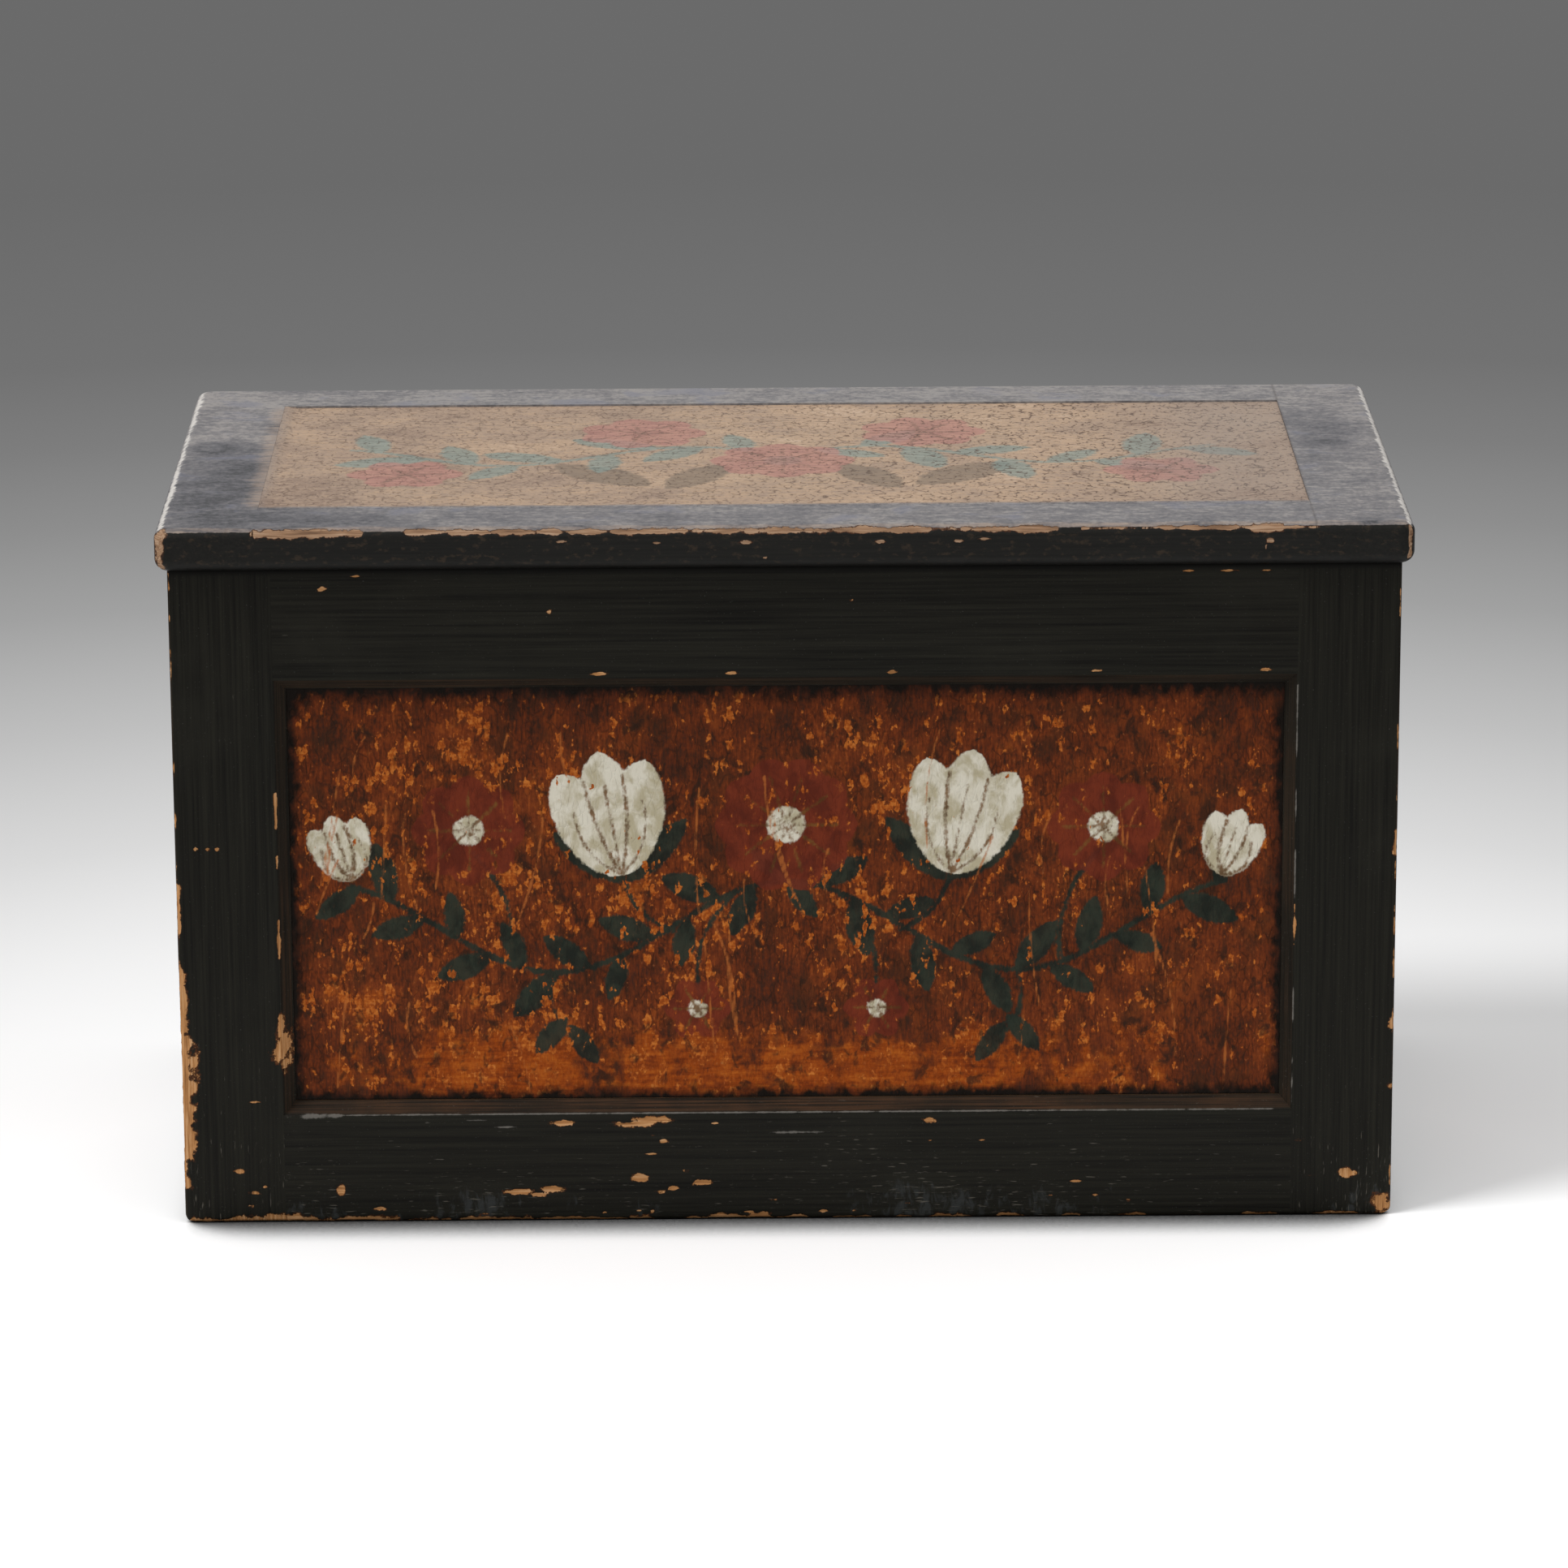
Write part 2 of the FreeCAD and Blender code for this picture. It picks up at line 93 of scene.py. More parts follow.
def spread(low, high, step):
    """Places from low to high, closer together near both ends, where the arrises wear."""
    rim = min(RIM, (high - low) / 2)
    near = np.linspace(0.0, rim, max(2, round(rim / RIM_STEP) + 1))
    count = max(2, round((high - low - 2 * rim) / step) + 1)
    middle = np.linspace(low + rim, high - rim, count)
    return np.unique(np.round(np.concatenate((low + near, middle, high - near)), 4))


def grid_quads(number):
    """The quads between the neighbouring points of a numbered grid."""
    loop = (number[:-1, :-1], number[1:, :-1], number[1:, 1:], number[:-1, 1:])
    return np.stack([corner.ravel() for corner in loop], axis=1)


def block(low, high, step):
    """Points and quads on a finely divided box, and each quad's side as (axis, -1 or 1)."""
    places = [spread(low[axis], high[axis], step) for axis in range(3)]
    shape = tuple(len(row) for row in places)
    index = np.indices(shape)
    skin = np.zeros(shape, bool)
    for axis in range(3):
        skin |= (index[axis] == 0) | (index[axis] == shape[axis] - 1)
    number = np.full(shape, -1)
    number[skin] = np.arange(skin.sum())
    points = np.stack([row[index[axis][skin]] for axis, row in enumerate(places)], axis=1)
    quads = []
    sides = []
    for axis in range(3):
        for end, side in ((0, -1), (shape[axis] - 1, 1)):
            face = grid_quads(np.take(number, end, axis=axis))
            if (side > 0) == (axis == 1):
                face = face[:, ::-1]
            quads.append(face)
            sides.append(np.tile((axis, side), (len(face), 1)))
    return points, np.concatenate(quads), np.concatenate(sides)


def sheet_board(low, high, axis, side, step):
    """A thin board with a finely divided face on one side and a single face behind it."""
    runs = [other for other in range(3) if other != axis]
    counts = [round((high[run] - low[run]) / step) + 1 for run in runs]
    rows, columns = (np.linspace(low[run], high[run], count) for run, count in zip(runs, counts))
    number = np.arange(math.prod(counts)).reshape(counts)
    near, far = (high, low) if side > 0 else (low, high)
    face = np.zeros((number.size, 3))
    face[:, runs[0]] = np.repeat(rows, counts[1])
    face[:, runs[1]] = np.tile(columns, counts[0])
    face[:, axis] = near[axis]
    rim = np.concatenate((number[:-1, 0], number[-1, :-1], number[:0:-1, -1], number[0, :0:-1]))
    behind = face[rim]
    behind[:, axis] = far[axis]
    behind_number = np.arange(len(rim)) + number.size
    grid = grid_quads(number)
    walls = np.stack((rim, behind_number, np.roll(behind_number, -1), np.roll(rim, -1)), axis=1)
    faces = grid.tolist() + walls.tolist() + [behind_number[::-1].tolist()]
    sides = [(axis, side)] * len(grid) + [(runs[0], 0)] * len(walls) + [(axis, -side)]
    if (side > 0) == (axis == 1):
        faces = [loop[::-1] for loop in faces]
    return np.concatenate((face, behind)), faces, np.array(sides)


def rounded(a, b, size):
    """Draws the square corner from 0 to size in to a quarter circle, keeping its faces open."""
    return a * np.sqrt(1 - (b / size) ** 2 / 2), b * np.sqrt(1 - (a / size) ** 2 / 2)


def bevelled(a, b):
    """Draws a square corner in to a flat bevel, keeping its faces open."""
    share = np.maximum(a, b) / np.maximum(a + b, 1e-9)
    return a * share, b * share


def ease(points, low, high, edges, size, flat=False):
    """Rounds the arris between two sides of a block, each given as (axis, -1 or 1), or cuts it flat."""
    lines = [high[axis] - size if side > 0 else low[axis] + size for axis, side in edges]
    past = [np.clip(side * (points[:, axis] - line), 0, size) for (axis, side), line in zip(edges, lines)]
    where = (past[0] > 0) & (past[1] > 0)
    drawn_in = bevelled(*past) if flat else rounded(*past, size)
    for (axis, side), line, value in zip(edges, lines, drawn_in):
        points[where, axis] = line + side * value[where]


def round_lid(points):
    """Brings the lid's outer edges and corners in to their rounded outline."""
    middle = (LID_LOW + LID_HIGH) / 2
    half = (LID_HIGH - LID_LOW) / 2
    offset = points - middle
    sign = np.where(offset < 0, -1.0, 1.0)
    plan = np.abs(offset[:, :2]) - (half[:2] - LID_CORNER_RADIUS)
    in_corner = (plan > 0).all(axis=1)
    plan[in_corner] = np.stack(rounded(*plan[in_corner].T, LID_CORNER_RADIUS), axis=1)
    length = np.hypot(*plan.T)
    straight = np.stack((plan[:, 0] >= plan[:, 1], plan[:, 0] < plan[:, 1]), axis=1).astype(float)
    outward = np.where(in_corner[:, None], plan / np.maximum(length, 1e-9)[:, None], straight)
    reach = np.where(in_corner, length, plan.max(axis=1))
    out = np.clip(reach - LID_CORNER_RADIUS + LID_EDGE_RADIUS, 0, LID_EDGE_RADIUS)
    up = np.abs(offset[:, 2]) - (half[2] - LID_EDGE_RADIUS)
    new_out, new_up = rounded(out, np.clip(up, 0, LID_EDGE_RADIUS), LID_EDGE_RADIUS)
    plan -= outward * (out - new_out)[:, None]
    points[:, :2] = middle[:2] + sign[:, :2] * (plan + half[:2] - LID_CORNER_RADIUS)
    points[:, 2] = middle[2] + sign[:, 2] * (np.where(up > 0, new_up, up) + half[2] - LID_EDGE_RADIUS)


# Where paint is worn through
# A stretch is (start, end, half width, how broken it is), and a chip is (x, z, half length, half height).

UPRIGHT_STRETCHES = {
    LEFT: ((180, 132, 2.2, 0.5), (132, 95, 3.6, 0.2), (95, 76, 7.0, 0.1), (70, 38, 6.6, 0.1),
           (38, 22, 3.8, 0.3)),
    RIGHT: ((205, 195, 2.4, 0.2), (104, 70, 2.6, 0.5)),
    -STILE_ARRIS: ((230, 212, 1.0, 0.3), (197, 191, 0.9, 0.2), (163, 143, 1.5, 0.3)),
    STILE_ARRIS: ((168, 146, 1.1, 0.4),),
}
BOTTOM_STRETCHES = (
    (-308, -284, 3.4, 0.2), (-280, -252, 3.8, 0.2), (-252, -222, 2.8, 0.2), (-222, -190, 3.4, 0.3),
    (-190, -152, 2.4, 0.3), (-152, -136, 3.2, 0.3), (-80, -70, 2.8, 0.4), (-40, 14, 2.8, 0.5),
    (60, 150, 2.0, 0.7), (150, 300, 1.7, 0.7),
)
LID_STRETCHES = (
    (-266, -214, 2.4, 0.1), (-190, -158, 1.8, 0.2), (-157, -112, 1.9, 0.3), (-110, -20, 1.9, 0.3),
    (-20, 40, 2.2, 0.2), (40, 115, 1.9, 0.3), (115, 137, 2.0, 0.3), (150, 222, 1.4, 0.3),
    (222, 236, 1.5, 0.3), (236, 249, 2.4, 0.1), (249, 270, 0.9, 0.4),
)
FRONT_CHIPS = (
    (-257.5, 92, 5.8, 5.2), (-258, 97, 3.6, 8.0), (-257, 86, 3.0, 5.0), (-259.5, 106, 1.8, 7.0),
    (-254, 73, 1.8, 3.0), (-116, 53, 6.0, 1.5), (-80, 52, 10.0, 1.6), (-70, 54, 10.0, 1.9),
    (73, 53, 3.4, 1.5), (-139, 15.5, 6.5, 1.5), (-121, 17, 5.5, 1.7), (-128, 14, 4.0, 1.0),
    (-76, 23, 4.0, 2.2), (-59, 17, 2.4, 1.0), (-44, 20, 4.5, 1.6), (-66, 15, 3.0, 0.9),
    (-283, 28, 3.4, 1.4), (-275, 16, 2.8, 1.1), (-231, 17, 2.0, 3.2), (-211, 7, 3.8, 1.0),
    (289, 23, 4.0, 2.2), (306, 7, 4.6, 4.6), (-301, 201, 1.1, 1.0), (-295, 201, 1.3, 1.0),
    (-290, 201, 1.1, 1.0), (-94, 292, 3.5, 0.7), (-28, 292, 3.0, 0.6), (54, 292, 2.5, 0.6),
    (157, 292, 3.0, 0.6), (243, 292, 3.0, 0.7), (-216, 344, 3.0, 0.6), (204, 344, 2.4, 0.6),
    (224, 344, 4.0, 0.6), (243, 344, 2.0, 0.6),
)
LID_FACE_CHIPS = (
    (88, 362, 2.4, 0.8), (244, 361, 1.8, 1.4), (242, 358, 0.8, 1.6), (-113, 363, 3.0, 0.8),
    (-64, 362, 2.2, 0.8), (-20, 362, 2.8, 1.0), (-10, 354, 1.0, 0.6), (48, 362, 2.4, 0.9),
    (101, 363, 2.6, 0.7),
)
PALE_PATCHES = (
    (-242, LOW_ARRIS - 0.4, 11.0, 1.3), (6, 47, 15.0, 0.8), (-182, 54, 7.0, 0.5), (-160, 55, 5.0, 0.5),
    (-146, 51, 6.0, 0.5), (-128, 49, 4.0, 0.5), (-40, 54, 6.0, 0.5), (110, 54, 5.0, 0.5),
)
SMALL_CHIP_COUNT = 46
SMALL_CHIP_MARGIN = 4.0
SMALL_CHIP_LOWNESS = 2.2
SMALL_CHIP_LENGTHS = (0.8, 3.0)
SMALL_CHIP_HEIGHTS = (0.35, 0.8)
LID_WEAR_INSET = 2.0
LID_FRONT_INSET = 1.4
LID_RIM_INSET = 1.0
# where the painted highlights run along the lid's rims
LID_HIGHLIGHT_INSET = 2.6
LID_HIGHLIGHT_DEPTH = 0.8
BREAK_LENGTH = 14.0
RAGGED_SIZE = 5.0
RAGGEDNESS = 0.3
RUBBED_HEIGHT = 130.0
CHIP_DEPTH = 0.45
DENT_DEPTH = 0.12


def streak(axis, across, start, end, width, broken):
    """A worn line along one axis, at the given places on the other two."""
    ends = [np.insert(np.array(across, float), axis, place) for place in (start, end)]
    return (*ends, width, broken)


def arris_streaks():
    """The light, broken wear that every outer edge of the body has."""
    streaks = [streak(2, (x, y), BOTTOM, TOP, 0.9, 1.0) for x in (LEFT, RIGHT) for y in (FRONT, BACK)]
    streaks += [streak(0, (y, BOTTOM), LEFT, RIGHT, 1.6, 0.9) for y in (FRONT, BACK)]
    streaks += [streak(1, (x, BOTTOM), FRONT, BACK, 1.6, 0.9) for x in (LEFT, RIGHT)]
    return streaks


def lid_streaks():
    """The chipped top of the lid's front, and lighter wear on its corners, ends and back."""
    low = LID_LOW + LID_WEAR_INSET
    high = LID_HIGH - LID_WEAR_INSET
    streaks = [streak(0, (LID_LOW[1] + LID_FRONT_INSET, high[2]), *stretch) for stretch in LID_STRETCHES]
    for x, width, broken in ((low[0], 4.0, 0.2), (high[0], 1.6, 0.7)):
        streaks.append(streak(2, (x, low[1]), low[2], high[2], width, broken))
        streaks.append(streak(2, (x, high[1]), low[2], high[2], 2.2, 0.6))
        streaks.append(streak(1, (x, LID_LOW[2] + LID_RIM_INSET), LID_LOW[1], LID_HIGH[1], 0.9, 1.0))
    streaks.append(streak(0, (LID_HIGH[1] - LID_RIM_INSET, high[2]), LID_LOW[0], LID_HIGH[0], 1.0, 0.9))
    return streaks


def lid_rim_highlights():
    """Pale painted highlights along the tops of the lid's ends and back."""
    z = LID_HIGH[2] - LID_HIGHLIGHT_DEPTH
    rim_highlights = [streak(0, (LID_HIGH[1] - LID_RIM_INSET, z), LID_LOW[0], LID_HIGH[0], 1.4, 0.6)]
    start, end = LID_LOW[1] + LID_EDGE_RADIUS, LID_HIGH[1] - LID_WEAR_INSET
    rim_highlights.append(streak(1, (LID_LOW[0] + LID_HIGHLIGHT_INSET, z), start, end, 2.2, 0.1))
    rim_highlights.append(streak(1, (LID_HIGH[0] - LID_HIGHLIGHT_INSET, z), start, end, 2.0, 0.0))
    return rim_highlights


def face_chips(y, chips):
    return [((x, y, z), length, height, 0) for x, z, length, height in chips]


def small_chips():
    """Small scattered chips, most of them low on the walls."""
    random = np.random.default_rng(RANDOM_SEED)
    margin = SMALL_CHIP_MARGIN
    chips = []
    for _ in range(SMALL_CHIP_COUNT):
        height = BOTTOM + margin + (TOP - BOTTOM - 2 * margin) * random.random() ** SMALL_CHIP_LOWNESS
        length = random.uniform(*SMALL_CHIP_LENGTHS)
        for axis, face, low, high in ((1, FRONT, LEFT, RIGHT), (1, BACK, LEFT, RIGHT),
                                      (0, LEFT, FRONT, BACK), (0, RIGHT, FRONT, BACK)):
            middle = np.empty(3)
            middle[axis] = face
            middle[1 - axis] = random.uniform(low + margin, high - margin)
            middle[2] = height
            chips.append((middle, length, random.uniform(*SMALL_CHIP_HEIGHTS), 1 - axis))
    return chips


BARE_LINES = [streak(2, (x, FRONT), *stretch) for x, row in UPRIGHT_STRETCHES.items() for stretch in row]
BARE_LINES += [streak(0, (FRONT, BOTTOM), *stretch) for stretch in BOTTOM_STRETCHES]
BARE_LINES += arris_streaks() + lid_streaks()
BARE_CHIPS = face_chips(FRONT, FRONT_CHIPS) + small_chips() + face_chips(LID_LOW[1], LID_FACE_CHIPS)
# Pale lines: along the bottom rail's chamfer arris partly wear and partly a painted highlight, along the
# right stile's chamfer a painted highlight, and on the lid painted highlights along its rims
PALE_LINES = [streak(0, (FRONT, LOW_ARRIS), -236, 250, 0.5, 0.2),
              streak(2, (STILE_ARRIS, FRONT), 284, 60, 0.5, 0.7)] + lid_rim_highlights()
PALE_CHIPS = face_chips(FRONT, PALE_PATCHES)


def smooth(value, low, high):
    """A soft step from 0 at low to 1 at high."""
    share = np.clip((value - low) / (high - low), 0, 1)
    return share * share * (3 - 2 * share)


def noise_at(points, size):
    return np.array([noise.noise(Vector(point) / size) for point in points])


def worn(points, lines, chips):
    """How worn each point is, and for the pale marks how strongly the rubs and painted highlights show: 0.5
    at the edge of a marked place and more inside it.
    """
    amount = np.zeros(len(points))
    for start, end, width, broken in lines:
        run = end - start
        share = np.clip((points - start) @ run / (run @ run), 0, 1)
        away = np.linalg.norm(points - start - share[:, None] * run, axis=1)
        value = 1 - away / (2 * width)
        near = value > 0
        if near.any():
            value[near] -= broken * smooth(noise_at(points[near] + width, BREAK_LENGTH), -0.3, 0.3)
            amount = np.maximum(amount, value)
    for middle, length, height, run_axis in chips:
        offset = points - np.array(middle, float)
        across = np.delete(offset, run_axis, axis=1)
        reach = np.hypot(offset[:, run_axis] / length, np.linalg.norm(across, axis=1) / height)
        amount = np.maximum(amount, 1 - reach / 2)
    near = amount > 0.1
    if near.any():
        ragged = noise_at(points[near], RAGGED_SIZE) + 0.5 * noise_at(points[near], RAGGED_SIZE / 2.3)
        amount[near] += RAGGEDNESS * ragged
    return np.clip(amount, 0, 1)


# Turning points and faces into pieces

GRAIN_SHIFT = 2000


def add_object(name, data):
    thing = bpy.data.objects.new(name, data)
    bpy.context.scene.collection.objects.link(thing)
    return thing


def new_piece(name, points, faces, materials, inner):
    """A mesh piece in metres. Its inner faces take the second material."""
    mesh = bpy.data.meshes.new(name)
    mesh.from_pydata((points * MM).tolist(), [], faces if isinstance(faces, list) else faces.tolist())
    for material in materials:
        mesh.materials.append(material)
    mesh.polygons.foreach_set("material_index", inner.astype(np.int32))
    mesh.shade_smooth()
    mesh.set_sharp_from_angle(angle=SHARP_ANGLE)
    mesh.update()
    return add_object(name, mesh)


def write_values(piece, **values):
    """Keeps values of the piece's points for its material."""
    for name, value in values.items():
        attribute = piece.data.attributes.new(name, "FLOAT", "POINT")
        attribute.data.foreach_set("value", np.asarray(value, np.float32))


def write_board(piece, points, along):
    """Keeps each point's place on its board, with the grain's direction first."""
    order = [along] + [axis for axis in range(3) if axis != along]
    start = np.random.default_rng(sum(map(ord, piece.name))).uniform(0, GRAIN_SHIFT, 3)
    attribute = piece.data.attributes.new("board", "FLOAT_VECTOR", "POINT")
    attribute.data.foreach_set("vector", ((points[:, order] + start) * MM).astype(np.float32).ravel())


def wear_down(piece, points):
    """Keeps how worn each point is and where the pale rubs and painted highlights lie, and sinks the
    chipped places into the wood.
    """
    bare = worn(points, BARE_LINES, BARE_CHIPS)
    pale = worn(points, PALE_LINES, PALE_CHIPS)
    write_values(piece, bare=bare, pale=pale, rubbed=smooth(points[:, 2], BOTTOM + RUBBED_HEIGHT, BOTTOM))
    normals = np.empty(len(points) * 3, np.float32)
    piece.data.vertex_normals.foreach_get("vector", normals)
    normals = normals.reshape(-1, 3)
    sink = CHIP_DEPTH * smooth(bare, 0.42, 0.62) + DENT_DEPTH * smooth(pale, 0.4, 0.7)
    sunk = (points - normals * sink[:, None]) * MM
    piece.data.vertices.foreach_set("co", sunk.astype(np.float32).ravel())
    piece.data.update()
    return normals


def dress(piece, body, node):
    """Ties a piece to its body and hides the solid that it stands for."""
    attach(piece, body)
    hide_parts(node)


# Painted decoration: distances to drawn shapes, negative inside

FAR = 30.0
UP = math.pi / 2


def toward(at, angle, length):
    return at[0] + length * math.cos(angle), at[1] + length * math.sin(angle)


def petal(place, at, angle, length, width, blunt=0.8):
    """Distance to a petal or leaf that grows from at by an angle."""
    x, z = place[0] - at[0], place[1] - at[1]
    along = x * math.cos(angle) + z * math.sin(angle)
    across = z * math.cos(angle) - x * math.sin(angle)
    share = np.clip(along / length, 0, 1)
    half = width / 2 * np.clip(4 * share * (1 - share), 0, 1) ** blunt
    past = np.maximum(np.maximum(-along, along - length), 0)
    return np.hypot(np.maximum(np.abs(across) - half, 0), past) + np.minimum(np.abs(across) - half, 0)


def stroke(place, points, width):
    """Distance to a line drawn through points."""
    nearest = np.full(place[0].shape, FAR)
    for start, end in zip(points, points[1:]):
        run = np.subtract(end, start)
        share = ((place[0] - start[0]) * run[0] + (place[1] - start[1]) * run[1]) / (run @ run)
        share = np.clip(share, 0, 1)
        away = np.hypot(place[0] - start[0] - share * run[0], place[1] - start[1] - share * run[1])
        nearest = np.minimum(nearest, away)
    return nearest - width / 2


def bow(start, end, rise, count=9):
    """Points on a shallow bow from start to end, bulging to its left by rise."""
    start, end = np.array(start, float), np.array(end, float)
    run = end - start
    side = np.array((-run[1], run[0])) / np.linalg.norm(run)
    shares = np.linspace(0, 1, count)
    return [start + share * run + side * rise * 4 * share * (1 - share) for share in shares]


class Drawing:
    """Distance layers of one painted panel, one for each colour."""

    def __init__(self, place, colours):
        self.place = place
        self.layers = {colour: np.full(place[0].shape, FAR) for colour in colours}

    def add(self, colour, distance):
        self.layers[colour] = np.minimum(self.layers[colour], distance)

    def twig(self, start, end, rise, width, colour):
        self.add(colour, stroke(self.place, bow(start, end, rise), width))

    def leaf(self, at, angle, length, width, colour):
        self.add(colour, petal(self.place, at, angle, length, width))

    def rosette(self, at, radius, petals, colour, middle):
        for turn in np.arange(petals) * 2 * math.pi / petals:
            self.add(colour, petal(self.place, at, turn, radius, radius * 0.78, 0.5))
            self.add("line", stroke(self.place, [at, toward(at, turn, 0.72 * radius)], 1.0))
        self.add(middle, np.hypot(self.place[0] - at[0], self.place[1] - at[1]) - radius * 0.27)

    def tulip(self, at, angle, height, colour):
        for lean, size in ((0.38, 0.94), (-0.38, 0.94), (0.0, 1.0)):
            self.add(colour, petal(self.place, at, angle + lean, height * size, height * 0.46, 0.6))
        for lean, reach, width in ((0.19, 0.8, 1.6), (-0.19, 0.8, 1.6), (0.45, 0.62, 1.0),
                                   (0.0, 0.72, 1.0), (-0.45, 0.62, 1.0)):
            self.twig(at, toward(at, angle + lean, reach * height), 13 * lean, width, "line")

    def sprig(self, points, width, leaf_length, every, colour):
        """A stem with leaves on alternate sides."""
        self.add(colour, stroke(self.place, points, width))
        for count, (start, end) in enumerate(zip(points[::every], points[1::every])):
            heading = math.atan2(end[1] - start[1], end[0] - start[0])
            lean = 0.85 if count % 2 else -0.85
            size = leaf_length * (0.85 + 0.3 * ((count * 7) % 5) / 5)
            self.leaf(start, heading + lean, size, size * 0.42, colour)


def front_drawing(place):
    """A garland of tulips and round blossoms on a waving stem."""
    drawing = Drawing(place, ("green", "red", "cream", "line"))
    reach, height, swing, wave = 224.0, -18.0, 24.0, 118.0
    for side in (-1, 1):
        xs = np.linspace(0, reach, 41)
        stem = [(side * x, height + swing * math.cos(math.pi * x / wave)) for x in xs]
        drawing.sprig(stem, 3.0, 30, 3, "green")
        drawing.twig((side * 58, -20), (side * 84, 12), -side * 6, 2.6, "green")
        drawing.tulip((side * 84, 10), UP - side * 0.18, 66, "cream")
        for lean in (0.95, -0.75):
            drawing.leaf((side * 82, 6), UP - side * lean, 46, 15, "green")
        drawing.twig((side * 140, -36), (side * 160, 22), side * 7, 2.6, "green")
        drawing.rosette((side * 162, 34), 29, 8, "red", "cream")
        drawing.tulip((side * 222, 8), UP - side * 0.3, 36, "cream")
        drawing.twig((side * 26, 0), (side * 44, -58), side * 9, 2.0, "green")
        drawing.rosette((side * 46, -62), 17, 6, "red", "cream")
        drawing.twig((side * 118, -42), (side * 112, -76), side * 5, 1.8, "green")
        drawing.leaf((side * 112, -70), -UP - side * 0.6, 26, 11, "green")
        drawing.leaf((side * 113, -66), -UP + side * 0.7, 26, 11, "green")
    drawing.rosette((0, 36), 36, 10, "red", "cream")
    return drawing.layers


def lid_drawing(place):
    """Two pale sprays that cross the lid from its middle."""
    drawing = Drawing(place, ("teal", "pink", "taupe", "line"))
    for side in (-1, 1):
        xs = np.linspace(18, 226, 27)
        stem = [(side * x, 20 * math.sin(math.pi * x / 96)) for x in xs]
        drawing.sprig(stem, 4.0, 46, 3, "teal")
        drawing.rosette((side * 74, 52), 34, 7, "pink", "taupe")
        drawing.rosette((side * 196, -38), 30, 6, "pink", "taupe")
        drawing.leaf((side * 118, -18), UP * (1 + side * 1.5), 70, 30, "taupe")
        drawing.leaf((side * 30, -20), -UP + side * 0.5, 62, 26, "taupe")
    drawing.rosette((0, -12), 38, 8, "pink", "teal")
    return drawing.layers


# Materials

MIX_FACTOR, MIX_FIRST, MIX_SECOND, MIX_RESULT = 0, 6, 7, 2


def linear(share):
    return share / 12.92 if share <= 0.04045 else ((share + 0.055) / 1.055) ** 2.4


def srgb(colour):
    """A colour as it is read off a screen, from 0 to 255, as linear light."""
    return (*(linear(value / 255) for value in colour), 1.0)


